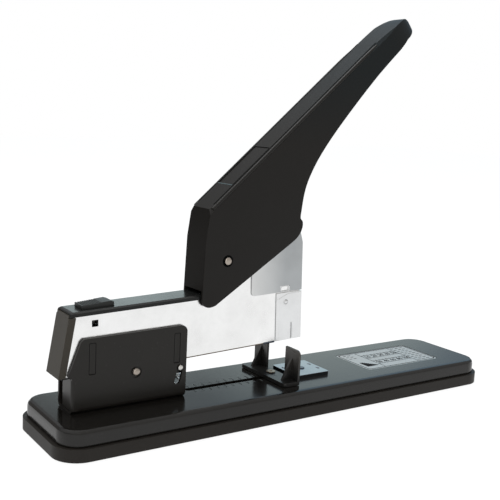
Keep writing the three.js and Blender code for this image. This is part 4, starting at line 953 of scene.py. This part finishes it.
ray = tree.nodes.new("ShaderNodeLightPath")
share = tree.nodes.new("ShaderNodeMath")
share.operation = "MULTIPLY"
share.inputs[1].default_value = 0.84
tree.links.new(ray.outputs["Is Camera Ray"], share.inputs[0])
seen_floor = mixed(share.outputs[0], matt.outputs[0], glow(1.0, 1.07))
surface = mixed(ray.outputs["Is Glossy Ray"], seen_floor, glow(0.965, 1.0))
tree.links.new(surface, tree.nodes["Material Output"].inputs["Surface"])
floor.data.materials.append(paper)
print("floor laid")

# %% [markdown]
# ## Surroundings
# The camera sees pure white behind the stapler. Everything else sees a light tent, bright overhead and
# dark towards the horizon. In it hang a bluish screen to the right, two small bright ones straight behind
# the stapler, which the deck mirrors, a dark one to the left and a broad warm grey one in front. Each is
# laid on those before it, by how near a ray's direction comes to its middle.

# %% Surroundings
world = bpy.data.worlds.new("studio")
bpy.context.scene.world = world
world.use_nodes = True
tree = world.node_tree
backdrop = tree.nodes["Background"]
direction = tree.nodes.new("ShaderNodeTexCoord").outputs["Generated"]


def nearness(azimuth, elevation, full, none):
    """1 within the angle full of a direction, 0 beyond the angle none, smooth between (degrees)."""
    a, e = math.radians(azimuth), math.radians(elevation)
    dot = tree.nodes.new("ShaderNodeVectorMath")
    dot.operation = "DOT_PRODUCT"
    dot.inputs[1].default_value = (math.sin(a) * math.cos(e), math.cos(a) * math.cos(e), math.sin(e))
    tree.links.new(direction, dot.inputs[0])
    fall = tree.nodes.new("ShaderNodeMapRange")
    fall.interpolation_type = "SMOOTHSTEP"
    fall.inputs["From Min"].default_value = math.cos(math.radians(none))
    fall.inputs["From Max"].default_value = math.cos(math.radians(full))
    tree.links.new(dot.outputs["Value"], fall.inputs["Value"])
    return fall.outputs["Result"]


DARK, WHITE = (0.20, 0.21, 0.22), (1.0, 1.0, 1.0)
SCREENS = (
    ((0, 90, 20, 75), (0.95, 0.95, 0.95)),
    ((60, 42, 12, 37), (0.50, 0.72, 0.90)),
    ((38.5, 8.5, 7.5, 12.6), (0.86, 1.0, 0.99)),
    ((25, 11, 6, 9.0), (1.0, 1.18, 1.19)),
    ((-26, 15, 6, 19), (0.26, 0.25, 0.24)),
    ((180, 10, 30, 95), (0.63, 0.615, 0.595)),
)
tent = DARK
for where, colour in SCREENS:
    tent = blended(tree, nearness(*where), tent, colour)
behind = tree.nodes.new("ShaderNodeLightPath").outputs["Is Camera Ray"]
tree.links.new(blended(tree, behind, tent, WHITE), backdrop.inputs["Color"])
backdrop.inputs["Strength"].default_value = 1.0
print("screens:", len(SCREENS))

# %% [markdown]
# ## Lamps
# Two large lamps, one overhead and one at the front left, give the black pieces their quiet highlights
# and the sheet steel its soft shading.


# %% Lamps
def lamp(name, place, target, size, power):
    """A square area lamp of the given side and power, aimed from place at target."""
    data = bpy.data.lights.new(name, "AREA")
    data.size = size
    data.energy = power
    made = bpy.data.objects.new(name, data)
    made.location = place
    made.rotation_euler = (Vector(target) - Vector(place)).to_track_quat("-Z", "Y").to_euler()
    bpy.context.scene.collection.objects.link(made)


lamp("overhead", (-0.1, 0.25, 1.3), (0, 0, 0.05), 1.0, 9.0)
lamp("front_left", (-1.0, -1.1, 0.9), (0, 0, 0.08), 0.8, 5.0)
bpy.context.scene.view_settings.view_transform = "Standard"
print("lamps:", len(bpy.data.lights))

# %% [markdown]
# ## Last update
# The view layer is brought up to date once more.

# %% Update
bpy.context.view_layer.update()
